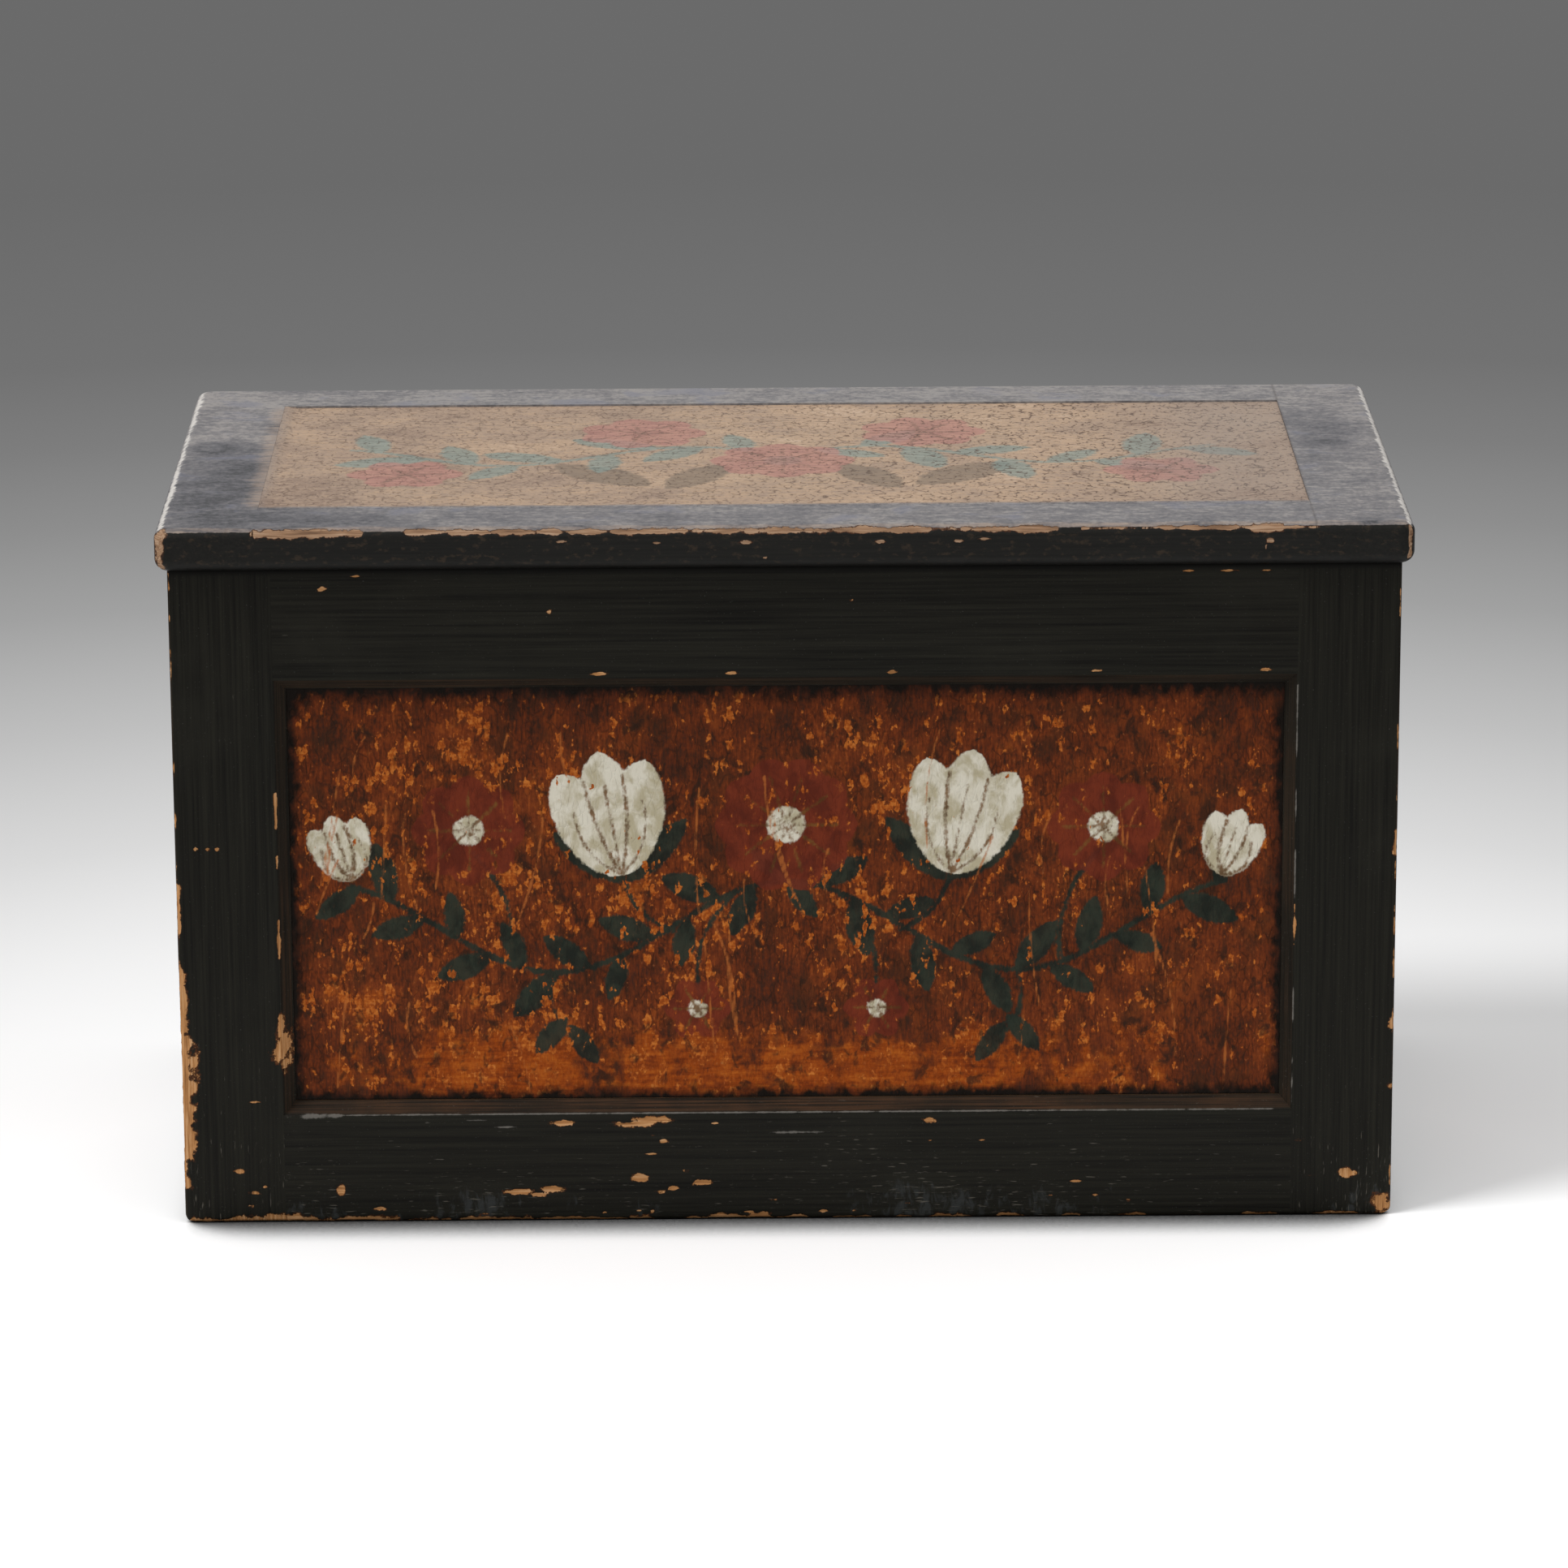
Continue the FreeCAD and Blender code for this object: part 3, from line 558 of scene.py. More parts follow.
class Finish:
    """A node material, whose colour is built up in coats. Most methods add a node and return its output.
    Colours are given as they are read off a screen."""

    def __init__(self, name):
        self.material = bpy.data.materials.new(name)
        self.material.use_nodes = True
        tree = self.material.node_tree
        self.nodes = tree.nodes
        self.links = tree.links
        self.nodes.clear()
        output = self.nodes.new("ShaderNodeOutputMaterial")
        self.shader = self.nodes.new("ShaderNodeBsdfPrincipled")
        self.links.new(self.shader.outputs["BSDF"], output.inputs["Surface"])
        self.colour = None

    def feed(self, socket, value):
        if isinstance(value, bpy.types.NodeSocket):
            self.links.new(value, socket)
        else:
            socket.default_value = srgb(value) if socket.type == "RGBA" else value

    def surface(self, **inputs):
        """Sets the shader's inputs and returns the finished material."""
        for name, value in inputs.items():
            self.feed(self.shader.inputs[name.replace("_", " ")], value)
        return self.material

    def node(self, kind, inputs=None, **settings):
        """All outputs of a new node with the given inputs and settings."""
        node = self.nodes.new("ShaderNode" + kind)
        for name, value in settings.items():
            setattr(node, name, value)
        for name, value in (inputs or {}).items():
            self.feed(node.inputs[name], value)
        return node.outputs

    def place(self):
        return self.node("TexCoord")["Object"]

    def value(self, name):
        return self.node("Attribute", attribute_name=name)["Fac"]

    def board(self):
        return self.node("Attribute", attribute_name="board")["Vector"]

    def sized(self, vector, sizes):
        """The vector in units of the given millimetres."""
        scale = [1 / (size * MM) for size in sizes]
        return self.node("Mapping", {"Vector": vector, "Scale": scale})["Vector"]

    def noise(self, vector, sizes, detail, roughness, distortion=0.0):
        inputs = {"Vector": self.sized(vector, sizes), "Scale": 1.0, "Detail": detail,
                  "Roughness": roughness, "Distortion": distortion}
        return self.node("TexNoise", inputs)["Fac"]

    def spots(self, vector, sizes):
        """Distance to the middle of irregular spots, and a chance value for each spot."""
        vector = self.sized(vector, sizes)
        warp = self.node("TexNoise", {"Vector": vector, "Scale": 1.3, "Detail": 2.0})["Color"]
        bent = self.node("VectorMath", {0: warp, 1: (1.6, 1.6, 1.6), 2: vector}, operation="MULTIPLY_ADD")
        cells = self.node("TexVoronoi", {"Vector": bent["Vector"], "Scale": 1.0})
        return cells["Distance"], self.node("SeparateColor", {"Color": cells["Color"]})["Red"]

    def cracks(self, vector, sizes):
        """Distance to the cracks between irregular cells."""
        inputs = {"Vector": self.sized(vector, sizes), "Scale": 1.0}
        return self.node("TexVoronoi", inputs, feature="DISTANCE_TO_EDGE")["Distance"]

    def math(self, operation, first, second):
        return self.node("Math", {0: first, 1: second}, operation=operation)["Value"]

    def times(self, first, second):
        return self.math("MULTIPLY", first, second)

    def sum(self, *terms):
        """Adds (factor, output) pairs, each output taken about its middle value of a half."""
        total = None
        for factor, output in terms:
            term = self.times(self.math("SUBTRACT", output, 0.5), factor)
            total = term if total is None else self.math("ADD", total, term)
        return total

    def plus(self, value, *terms):
        return self.math("ADD", value, self.sum(*terms))

    def band(self, value, low, high, at_high=1.0, at_low=0.0):
        inputs = {"Value": value, "From Min": low, "From Max": high, "To Min": at_low, "To Max": at_high}
        return self.node("MapRange", inputs, interpolation_type="SMOOTHSTEP")["Result"]

    def mix(self, factor, first, second):
        inputs = {MIX_FACTOR: factor, MIX_FIRST: first, MIX_SECOND: second}
        return self.node("Mix", inputs, data_type="RGBA")[MIX_RESULT]

    def ramp(self, value, *stops):
        node = self.nodes.new("ShaderNodeValToRGB")
        self.feed(node.inputs["Fac"], value)
        elements = node.color_ramp.elements
        while len(elements) < len(stops):
            elements.new(0.5)
        for element, (position, colour) in zip(elements, stops):
            element.position = position
            element.color = srgb(colour)
        return node.outputs["Color"]

    def bump(self, height, depth):
        return self.node("Bump", {"Distance": depth * MM, "Height": height})["Normal"]

    def coat(self, tone, mask, *limits):
        """Lays a tone over the colour so far, by the mask or by its band between limits."""
        self.colour = self.mix(self.band(mask, *limits) if limits else mask, self.colour, tone)

    def done(self, roughness, relief, depth, gloss):
        """The finished material, with its relief as deep as the given millimetres."""
        return self.surface(Base_Color=self.colour, Roughness=roughness, Normal=self.bump(relief, depth),
                            Specular_IOR_Level=gloss)


CHIP_WOOD = ((128, 86, 50), (180, 128, 80), (208, 164, 120))
DULL_CHIP_WOOD = ((104, 78, 60), (154, 120, 92), (188, 158, 132))


def chip_wood(finish, board, tones):
    """Softwood seen in a chip or a rubbed edge."""
    grain = finish.noise(board, (22, 1.3, 1.3), 4.0, 0.65)
    return finish.ramp(grain, *zip((0.3, 0.5, 0.7), tones))


def paint_marks(finish):
    """Masks of a painted board: chips, their brown rims, pale rubs and painted highlights, streaks and
    clouds.
    """
    board = finish.board()
    place = finish.place()
    fine = finish.noise(place, (1.5, 1.5, 1.5), 4.0, 0.6)
    cloud = finish.noise(place, (60, 60, 60), 5.0, 0.6)
    edge = finish.plus(finish.value("bare"), (0.55, fine))
    pale_edge = finish.plus(finish.value("pale"), (0.6, fine))
    return {
        "board": board,
        "place": place,
        "fine": fine,
        "cloud": cloud,
        "streak": finish.noise(board, (90, 1.6, 1.6), 5.0, 0.6),
        "bare": finish.band(edge, 0.46, 0.54),
        "rim": finish.times(finish.band(edge, 0.36, 0.47), finish.band(cloud, 0.4, 0.6, 1.0, 0.35)),
        "pale": finish.band(pale_edge, 0.42, 0.8),
    }


def finish_paint(finish, marks, wood_tones, gloss):
    """Shared end of the painted finishes: painted shade by the lid's joint, chips to wood, roughness and
    relief.
    """
    streaks, bare = marks["streak"], marks["bare"]
    # painted shade, nearly black, along the walls' tops and the lid's lower edge, where the lid's overhang
    # shades them
    finish.coat((8, 7, 5), finish.value("grime"))
    finish.coat((78, 44, 24), marks["rim"])
    finish.coat(chip_wood(finish, marks["board"], wood_tones), bare)
    roughness = finish.math("MAXIMUM", finish.band(streaks, 0.3, 0.7, 0.58, 0.42), finish.times(bare, 0.8))
    relief = finish.sum((0.35, streaks), (0.15, marks["fine"]), (-0.8, bare))
    return finish.done(roughness, relief, 0.5, gloss)


def black_paint():
    """Old black paint: brush streaks, powdery clouds, grey smears low down, and brown on chamfers, partly
    painted reflection.
    """
    finish = Finish("black_paint")
    marks = paint_marks(finish)
    place, cloud, streaks = marks["place"], marks["cloud"], marks["streak"]
    rubbed = finish.value("rubbed")
    finish.colour = finish.ramp(streaks, (0.3, (16, 15, 12)), (0.7, (35, 34, 28)))
    finish.coat((38, 37, 31), cloud, 0.5, 0.8, 0.5)
    smear = finish.plus(finish.noise(place, (5, 5, 13), 4.0, 0.65, 0.6), (1.2, cloud))
    smeared = finish.math("ADD", smear, finish.band(rubbed, 0.88, 1.0, 0.02, -0.3))
    finish.coat((66, 69, 70), smeared, 0.6, 0.8, 0.45)
    dash = finish.noise(marks["board"], (8, 1.0, 1.0), 2.0, 0.5)
    scratched = finish.plus(dash, (0.3, cloud), (0.16, rubbed))
    finish.coat((106, 101, 92), scratched, 0.71, 0.83, 0.6)
    speck = finish.noise(place, (1.0, 1.0, 1.0), 2.0, 0.5)
    finish.coat((84, 84, 79), speck, 0.66, 0.76, 0.45)
    # brown dirt on lying faces, and a painted reflection of the panel on the slanted chamfers
    dust_and_reflection_mask = finish.times(finish.value("dust"), finish.band(streaks, 0.38, 0.62, 1.1, 0.2))
    finish.coat((92, 60, 38), finish.times(dust_and_reflection_mask, finish.band(cloud, 0.38, 0.62, 1.0, 0.4)))
    # pale rubs, and painted highlights along the chamfer arrises
    finish.coat((116, 112, 106), finish.times(marks["pale"], 0.75))
    return finish_paint(finish, marks, CHIP_WOOD, 0.08)


def grey_bloom_and_sheen(finish, place):
    """The lid's dull grey coat, bloomed and partly a painted sheen, and the fibres and patches in it."""
    fibre = finish.noise(place, (15, 3.2, 3.2), 5.0, 0.7, 0.2)
    speckle = finish.noise(place, (3.0, 3.6, 3.0), 4.0, 0.65)
    patch = finish.noise(place, (34, 26, 26), 4.0, 0.6, 0.5)
    cloud = finish.noise(place, (60, 60, 60), 5.0, 0.6)
    tone = finish.plus(finish.value("bloom"), (1.2, fibre), (1.0, speckle), (0.6, cloud), (0.7, patch))
    bloom = finish.ramp(
        tone, (0.2, (66, 66, 69)), (0.45, (95, 94, 98)), (0.75, (122, 119, 120)), (1.0, (152, 147, 144)))
    # bluish patches, partly painted sheen
    bloom = finish.mix(finish.band(patch, 0.54, 0.7, 0.5), bloom, (108, 111, 127))
    return bloom, fibre, patch


def lid_paint():
    """The lid's frame: black paint under a dull grey coat, bloomed and partly a painted sheen, which the
    upper side has.
    """
    finish = Finish("lid_paint")
    marks = paint_marks(finish)
    place, fine = marks["place"], marks["fine"]
    finish.colour = finish.ramp(marks["streak"], (0.3, (20, 20, 18)), (0.7, (30, 29, 26)))
    mottle = finish.noise(place, (5, 5, 3), 4.0, 0.65)
    finish.coat((60, 49, 38), mottle, 0.53, 0.7, 0.7)
    bloom, fibre, patch = grey_bloom_and_sheen(finish, place)
    spilt = finish.plus(finish.value("spill"), (1.2, fibre), (0.6, patch))
    bloom = finish.mix(finish.band(spilt, 0.2, 0.95, 0.9), bloom, (168, 147, 130))
    # the upper side takes the grey coat, bloomed and partly a painted sheen
    covered = finish.plus(finish.value("upward"), (0.5, fibre), (0.5, fine))
    finish.coat(bloom, covered, 0.4, 0.6)
    finish.coat((74, 68, 66), finish.value("seam"))
    # painted highlight along the lid's rims, broken up by the fibres
    rim_highlight = finish.plus(finish.value("pale"), (1.8, fibre), (0.9, fine))
    finish.coat((214, 209, 203), rim_highlight, 0.48, 0.8, 0.95)
    marks["streak"] = fibre
    return finish_paint(finish, marks, DULL_CHIP_WOOD, 0.15)


def broken_edge(finish, name, ragged, soft):
    """Mask of a painted shape from its distance layer, with a ragged outline."""
    return finish.band(finish.math("ADD", finish.value(name), ragged), soft, -soft)


# Colours of the painted decoration: name, share of flaking that takes it off, cover, dark and light tone
GARLAND = (
    ("green", 0.76, 0.95, (28, 35, 30), (43, 51, 42)),
    ("red", 0.76, 0.82, (92, 36, 23), (115, 47, 29)),
    ("cream", 0.84, 1.0, (182, 172, 144), (220, 214, 197)),
    ("line", 0.84, 0.9, (84, 54, 26), (118, 80, 38)),
)
# The lid's sprays, in pale tones that are partly a painted sheen over red and green: name, dark and light
# tone
SPRAYS = (
    ("taupe", (120, 106, 92), (138, 122, 106)),
    ("teal", (112, 128, 122), (146, 160, 152)),
    ("pink", (162, 110, 102), (190, 140, 128)),
    ("line", (112, 90, 76), (130, 106, 90)),
)


def panel_varnish(decorated):
    """Red-brown varnish, crusted dark and flaked to orange, with the painted garland on the front."""
    finish = Finish("panel_varnish" if decorated else "plain_panel_varnish")
    place = finish.place()
    blotch = finish.noise(place, (9, 9, 13), 4.0, 0.6, 0.4)
    fibre = finish.noise(place, (1.4, 1.4, 9.0), 3.0, 0.6, 0.3)
    speck = finish.noise(place, (1.5, 1.5, 2.2), 2.0, 0.5)
    cluster = finish.noise(place, (32, 32, 42), 3.0, 0.55)
    flake = finish.noise(place, (5.5, 5.5, 8), 3.0, 0.55)
    brush = finish.noise(place, (17, 17, 2.6), 4.0, 0.6, 0.3)
    lightness = finish.math("ADD", finish.value("light"), 0.5)
    tone = finish.plus(lightness, (0.7, blotch), (0.9, fibre), (0.5, speck), (0.8, cluster))
    finish.colour = finish.ramp(
        tone, (0.15, (51, 33, 25)), (0.35, (71, 37, 23)), (0.52, (92, 42, 20)), (0.72, (115, 53, 23)),
        (0.92, (142, 70, 28)))
    dark = finish.noise(place, (15, 15, 20), 3.0, 0.6)
    finish.coat((54, 35, 22), dark, 0.48, 0.66, 0.55)
    glazed = finish.plus(finish.noise(place, (20, 20, 30), 4.0, 0.6), (0.6, blotch))
    finish.coat((124, 60, 23), glazed, 0.55, 0.75, 0.45)
    split = finish.cracks(place, (3.2, 3.2, 7.5))
    crack = finish.times(finish.band(split, 0.0, 0.12, 0.0, 1.0), finish.band(flake, 0.42, 0.56))
    finish.coat((46, 27, 18), finish.times(crack, 0.55))
    amber_tone = finish.ramp(
        finish.plus(0.5, (1.0, brush), (0.8, blotch), (0.5, speck)),
        (0.25, (110, 46, 14)), (0.5, (148, 67, 17)), (0.75, (174, 90, 27)))
    amber = finish.plus(finish.value("amber"), (2.4, cluster), (1.0, flake), (1.2, blotch))
    finish.coat(amber_tone, amber, 0.3, 0.95, 0.95)
    away, chance = finish.spots(place, (4.0, 4.0, 7.0))
    spot = finish.math("SUBTRACT", finish.times(chance, 0.6), finish.times(away, 0.75))
    flaky = finish.math("ADD", finish.math("ADD", 0.38, spot), finish.value("flaky"))
    flaked = finish.plus(flaky, (1.2, cluster), (0.7, flake), (0.5, speck))
    finish.coat((116, 54, 24), flaked, 0.42, 0.7, 0.4)
    fleck_tone = finish.ramp(
        finish.plus(0.5, (1.0, speck), (1.0, brush)),
        (0.3, (136, 62, 20)), (0.5, (166, 84, 28)), (0.72, (198, 116, 48)))
    finish.coat(fleck_tone, flaked, 0.63, 0.74, 0.92)
    # pale specks, partly dirt and partly painted glints on the crackle
    pale = finish.plus(speck, (0.3, cluster), (0.2, flake))
    finish.coat((158, 94, 54), pale, 0.64, 0.78, 0.5)
    crust = finish.noise(place, (8, 8, 11), 3.0, 0.6, 0.5)
    finish.coat((42, 29, 21), crust, 0.55, 0.69, 0.76)
    if decorated:
        ragged = finish.sum((3.0, flake), (2.6, speck))
        for name, loss, cover, deep, bright in GARLAND:
            held = finish.band(flaked, loss + 0.09, loss, cover)
            mask = finish.times(broken_edge(finish, name, ragged, 0.8), held)
            finish.coat(finish.mix(finish.band(blotch, 0.36, 0.62), deep, bright), mask)
        scratch = broken_edge(finish, "scratch", finish.sum((1.6, flake), (0.8, speck)), 0.4)
        finish.coat((176, 100, 46), finish.times(scratch, 0.7))
    shade = finish.plus(finish.value("shade"), (1.1, blotch), (0.8, flake))
    finish.coat((22, 17, 13), shade, 0.3, 0.95)
    relief = finish.sum((0.7, flake), (0.4, fibre), (0.3, speck), (-0.4, crack))
    return finish.done(finish.band(flake, 0.3, 0.7, 0.6, 0.36), relief, 0.4, 0.06)


def lid_panel_paint():
    """Beige paint whose pale tone is partly a painted sheen, with fine dark craquelure, warm stains and
    pale flowers.
    """
    finish = Finish("lid_panel_paint")
    place = finish.place()
    stain = finish.noise(place, (55, 40, 40), 5.0, 0.6)
    grain = finish.noise(finish.board(), (18, 2.2, 2.2), 5.0, 0.65)
    speck = finish.noise(place, (1.8, 2.4, 2.0), 4.0, 0.65)
    tone = finish.plus(finish.value("light"), (0.9, stain), (0.8, grain), (0.6, speck))
    finish.colour = finish.ramp(
        tone, (0.2, (142, 120, 105)), (0.45, (172, 148, 128)), (0.6, (184, 156, 130)),
        (0.8, (200, 175, 152)))
    ragged = finish.sum((6.0, speck), (5.0, grain), (4.0, stain))
    for name, deep, bright in SPRAYS:
        mask = finish.times(broken_edge(finish, name, ragged, 1.5), 0.75)
        finish.coat(finish.mix(finish.band(grain, 0.35, 0.65), deep, bright), mask)
    split = finish.cracks(place, (5.0, 5.6, 5.6))
    broken = finish.band(finish.noise(place, (3.4, 3.4, 3.4), 3.0, 0.7), 0.5, 0.58)
    crack = finish.times(finish.band(split, 0.0, 0.14, 0.0, 1.0), broken)
    finish.coat((92, 72, 60), finish.times(crack, finish.value("crackle")))
    dull = finish.plus(finish.value("shade"), (0.6, stain), (0.4, grain))
    finish.coat((140, 132, 128), dull, 0.3, 1.0, 0.75)
    finish.coat((84, 70, 62), finish.value("edge_line"))
    # the frame's grey coat, bloomed and partly a painted sheen, laid over the panel's front edge
    bloom, fibre, _ = grey_bloom_and_sheen(finish, place)
    overpaint = finish.plus(finish.value("overpaint"), (6.0, fibre), (3.0, speck))
    finish.coat(bloom, overpaint, -3.5, 3.5)
    relief = finish.sum((0.5, grain), (0.3, speck), (-0.9, crack))
    return finish.done(finish.band(grain, 0.3, 0.7, 0.7, 0.5), relief, 0.4, 0.15)


GRAIN_LENGTH = 160
GRAIN_WIDTH = 3.4


def bare_wood(name, grain_axis=None):
    """Aged, unpainted softwood. The grain follows the board, or one axis on pieces with no board places."""
    finish = Finish(name)
    vector = finish.board() if grain_axis is None else finish.place()
    sizes = [GRAIN_LENGTH if axis == (grain_axis or 0) else GRAIN_WIDTH for axis in range(3)]
    grain = finish.noise(vector, sizes, 6.0, 0.6, 0.6)
    fine = finish.noise(vector, [size / 4 for size in sizes], 4.0, 0.6)
    cloud = finish.noise(vector, (70, 70, 70), 4.0, 0.6)
    tone = finish.plus(0.5, (1.1, grain), (0.5, fine), (0.6, cloud))
    finish.colour = finish.ramp(
        tone, (0.2, (96, 66, 42)), (0.45, (140, 103, 68)), (0.62, (160, 123, 86)), (0.85, (182, 148, 110)))
    finish.coat((88, 66, 48), cloud, 0.56, 0.75, 0.45)
    relief = finish.sum((0.6, grain), (0.4, fine))
    return finish.done(finish.band(fine, 0.3, 0.7, 0.82, 0.62), relief, 0.35, 0.25)


def iron(name, dark, bright, rust_share):
    """Old iron with rust in patches."""
    finish = Finish(name)
    place = finish.place()
    cloud = finish.noise(place, (9, 9, 9), 6.0, 0.65)
    pit = finish.noise(place, (1.1, 1.1, 1.1), 4.0, 0.6)
    rust = finish.band(finish.plus(cloud, (0.3, pit)), 0.62 - rust_share, 0.74 - rust_share)
    metal = finish.mix(finish.band(pit, 0.3, 0.7), dark, bright)
    rust_tone = finish.mix(finish.band(pit, 0.35, 0.65), (70, 40, 24), (118, 66, 36))
    return finish.surface(
        Base_Color=finish.mix(rust, metal, rust_tone), Metallic=finish.band(rust, 0.0, 1.0, 0.05, 0.85),
        Roughness=finish.band(rust, 0.0, 1.0, 0.8, 0.42),
        Normal=finish.bump(finish.sum((0.5, pit), (0.5, cloud)), 0.2))


BLACK = black_paint()
LID_GREY = lid_paint()
FRONT_VARNISH = panel_varnish(True)
PLAIN_VARNISH = panel_varnish(False)
LID_BEIGE = lid_panel_paint()
WOOD = bare_wood("bare_wood")
WOOD_ALONG = {0: bare_wood("bare_wood_along_x", 0), 1: bare_wood("bare_wood_along_y", 1)}
HINGE_IRON = iron("hinge_iron", (44, 42, 40), (86, 82, 78), 0.06)
STEEL = iron("steel", (72, 70, 68), (124, 120, 116), 0.02)


# The four walls: name, axis and side that face out, stiles, and steps of the boards and the panel

WALLS = (
    ("front", 1, -1, ("left_stile", "right_stile"), FRONT_STEP, PAINTED_STEP),
    ("back", 1, 1, ("left_stile", "right_stile"), SIDE_STEP, PLAIN_PANEL_STEP),
    ("left_end", 0, -1, ("front_stile", "back_stile"), SIDE_STEP, PLAIN_PANEL_STEP),
    ("right_end", 0, 1, ("front_stile", "back_stile"), SIDE_STEP, PLAIN_PANEL_STEP),
)
# how far the painted shade by the lid's joint reaches, down the walls and up the lid's edge
PAINTED_SHADE_REACH = 4.5
WALL_PAINTED_SHADE = 1.0
SCRATCH_COUNT = 34
SCRATCH_WIDTH = 0.9
SCRATCH_PLACES = ((-230, 230), (-70, 95))
SCRATCH_LENGTHS = (18, 70)
SCRATCH_LEAN = 0.2
SCRATCH_BOW = 4
LOWER_BAND = (48.0, 22.0)
UPPER_BAND = 60.0
TOP_SHADE = 15.0
SIDE_SHADE = 11.0
CORNER_SHADE = 18.0


def worn_board(node, low, high, along, step, shape, is_inner, paint):
    """A frame member with worn paint, with its points and normals. Shape trims the plain block, and the
    faces that is_inner picks by their middles and sides stay bare wood."""
    points, faces, sides = block(low, high, FINE_STEP if node in FINE_BOARDS else step)
    plain = points.copy()
    shape(points)
    inner = is_inner(points[faces].mean(axis=1), sides)
    piece = new_piece("painted_" + node, points, faces, (paint, WOOD), inner)
    write_board(piece, plain, along)
    return piece, points, wear_down(piece, points)


def paint_board(node, low, high, along, step, out, edge, panel_face, shape):
    """A member of a wall. Its inner side is bare, and so is the edge towards the opening where that lies
    behind the panel's face."""
    axis_out, side_out = out

    def is_inner(middles, sides):
        hidden = (sides == edge).all(axis=1) & (side_out * (panel_face - middles[:, axis_out]) > 0)
        return (sides == (axis_out, -side_out)).all(axis=1) | hidden

    piece, points, normals = worn_board(node, low, high, along, step, shape, is_inner, BLACK)
    from_ends = np.minimum(points[:, along] - low[along], high[along] - points[:, along])
    slanted = smooth(np.sort(np.abs(normals), axis=1)[:, 1], 0.4, 0.6)
    lying = smooth(normals[:, 2], 0.3, 0.7) * smooth(from_ends, -10, 50)
    # painted shade along the top of the wall, under the lid's overhang
    grime = smooth(points[:, 2], TOP - PAINTED_SHADE_REACH, TOP - WALL_PAINTED_SHADE)
    # dirt on the lying faces, and the painted reflection on all slanted chamfers
    write_values(piece, dust=0.2 * slanted + 0.35 * lying, grime=grime)
    dress(piece, "carcass", node)


def dress_wall(name, axis_out, side_out, stile_names, step):
    """The stiles and rails of a wall, the rails coped over the stiles' chamfers."""
    run = 1 - axis_out
    out = (axis_out, side_out)
    stiles = [corners(f"{name}_{stile}") for stile in stile_names]
    opening = (stiles[0][1][run], stiles[1][0][run])
    middle = (opening[0] + opening[1]) / 2
    panel_face = corners(f"{name}_panel")[max(side_out, 0)][axis_out]
    for (low, high), stile, inward in zip(stiles, stile_names, (1, -1)):
        if axis_out == 0:
            low[1] = max(low[1], FRONT + BOARD)
            high[1] = min(high[1], BACK - BOARD)

        def shape_stile(points):
            ease(points, low, high, (out, (run, inward)), CHAMFER, flat=True)
            if axis_out == 1:
                ease(points, low, high, (out, (run, -inward)), CORNER_EASE)
                ease(points, low, high, ((2, -1), (run, -inward)), WORN_CORNER)
            for end, size in ((-1, WORN_EDGE), (1, CORNER_EASE / 2)):
                ease(points, low, high, (out, (2, end)), size)

        paint_board(f"{name}_{stile}", low, high, 2, step, out, (run, inward), panel_face, shape_stile)
    for rail, inward in (("bottom_rail", 1), ("top_rail", -1)):
        low, high = corners(f"{name}_{rail}")
        low[run], high[run] = opening[0] - CHAMFER, opening[1] + CHAMFER

        def shape_rail(points):
            ease(points, low, high, (out, (2, inward)), CHAMFER, flat=True)
            ease(points, low, high, (out, (2, -inward)), WORN_EDGE if inward > 0 else CORNER_EASE / 2)
            outer = high[axis_out] if side_out > 0 else low[axis_out]
            cope = np.maximum(CHAMFER - np.abs(outer - points[:, axis_out]), 0)
            half = (opening[1] - opening[0]) / 2
            points[:, run] = middle + (points[:, run] - middle) * (half + cope) / (half + CHAMFER)

        paint_board(f"{name}_{rail}", low, high, run, step, out, (2, inward), panel_face, shape_rail)


def scratch_distance(place):
    """Long fine scratches, mostly upright."""
    random = np.random.default_rng(RANDOM_SEED + 1)
    nearest = np.full(place[0].shape, FAR)
    for _ in range(SCRATCH_COUNT):
        start = [random.uniform(*reach) for reach in SCRATCH_PLACES]
        heading = UP + random.normal(0, SCRATCH_LEAN)
        end = toward(start, heading, -random.uniform(*SCRATCH_LENGTHS))
        scratch = stroke(place, bow(start, end, random.uniform(-SCRATCH_BOW, SCRATCH_BOW)), SCRATCH_WIDTH)
        nearest = np.minimum(nearest, scratch)
    return nearest


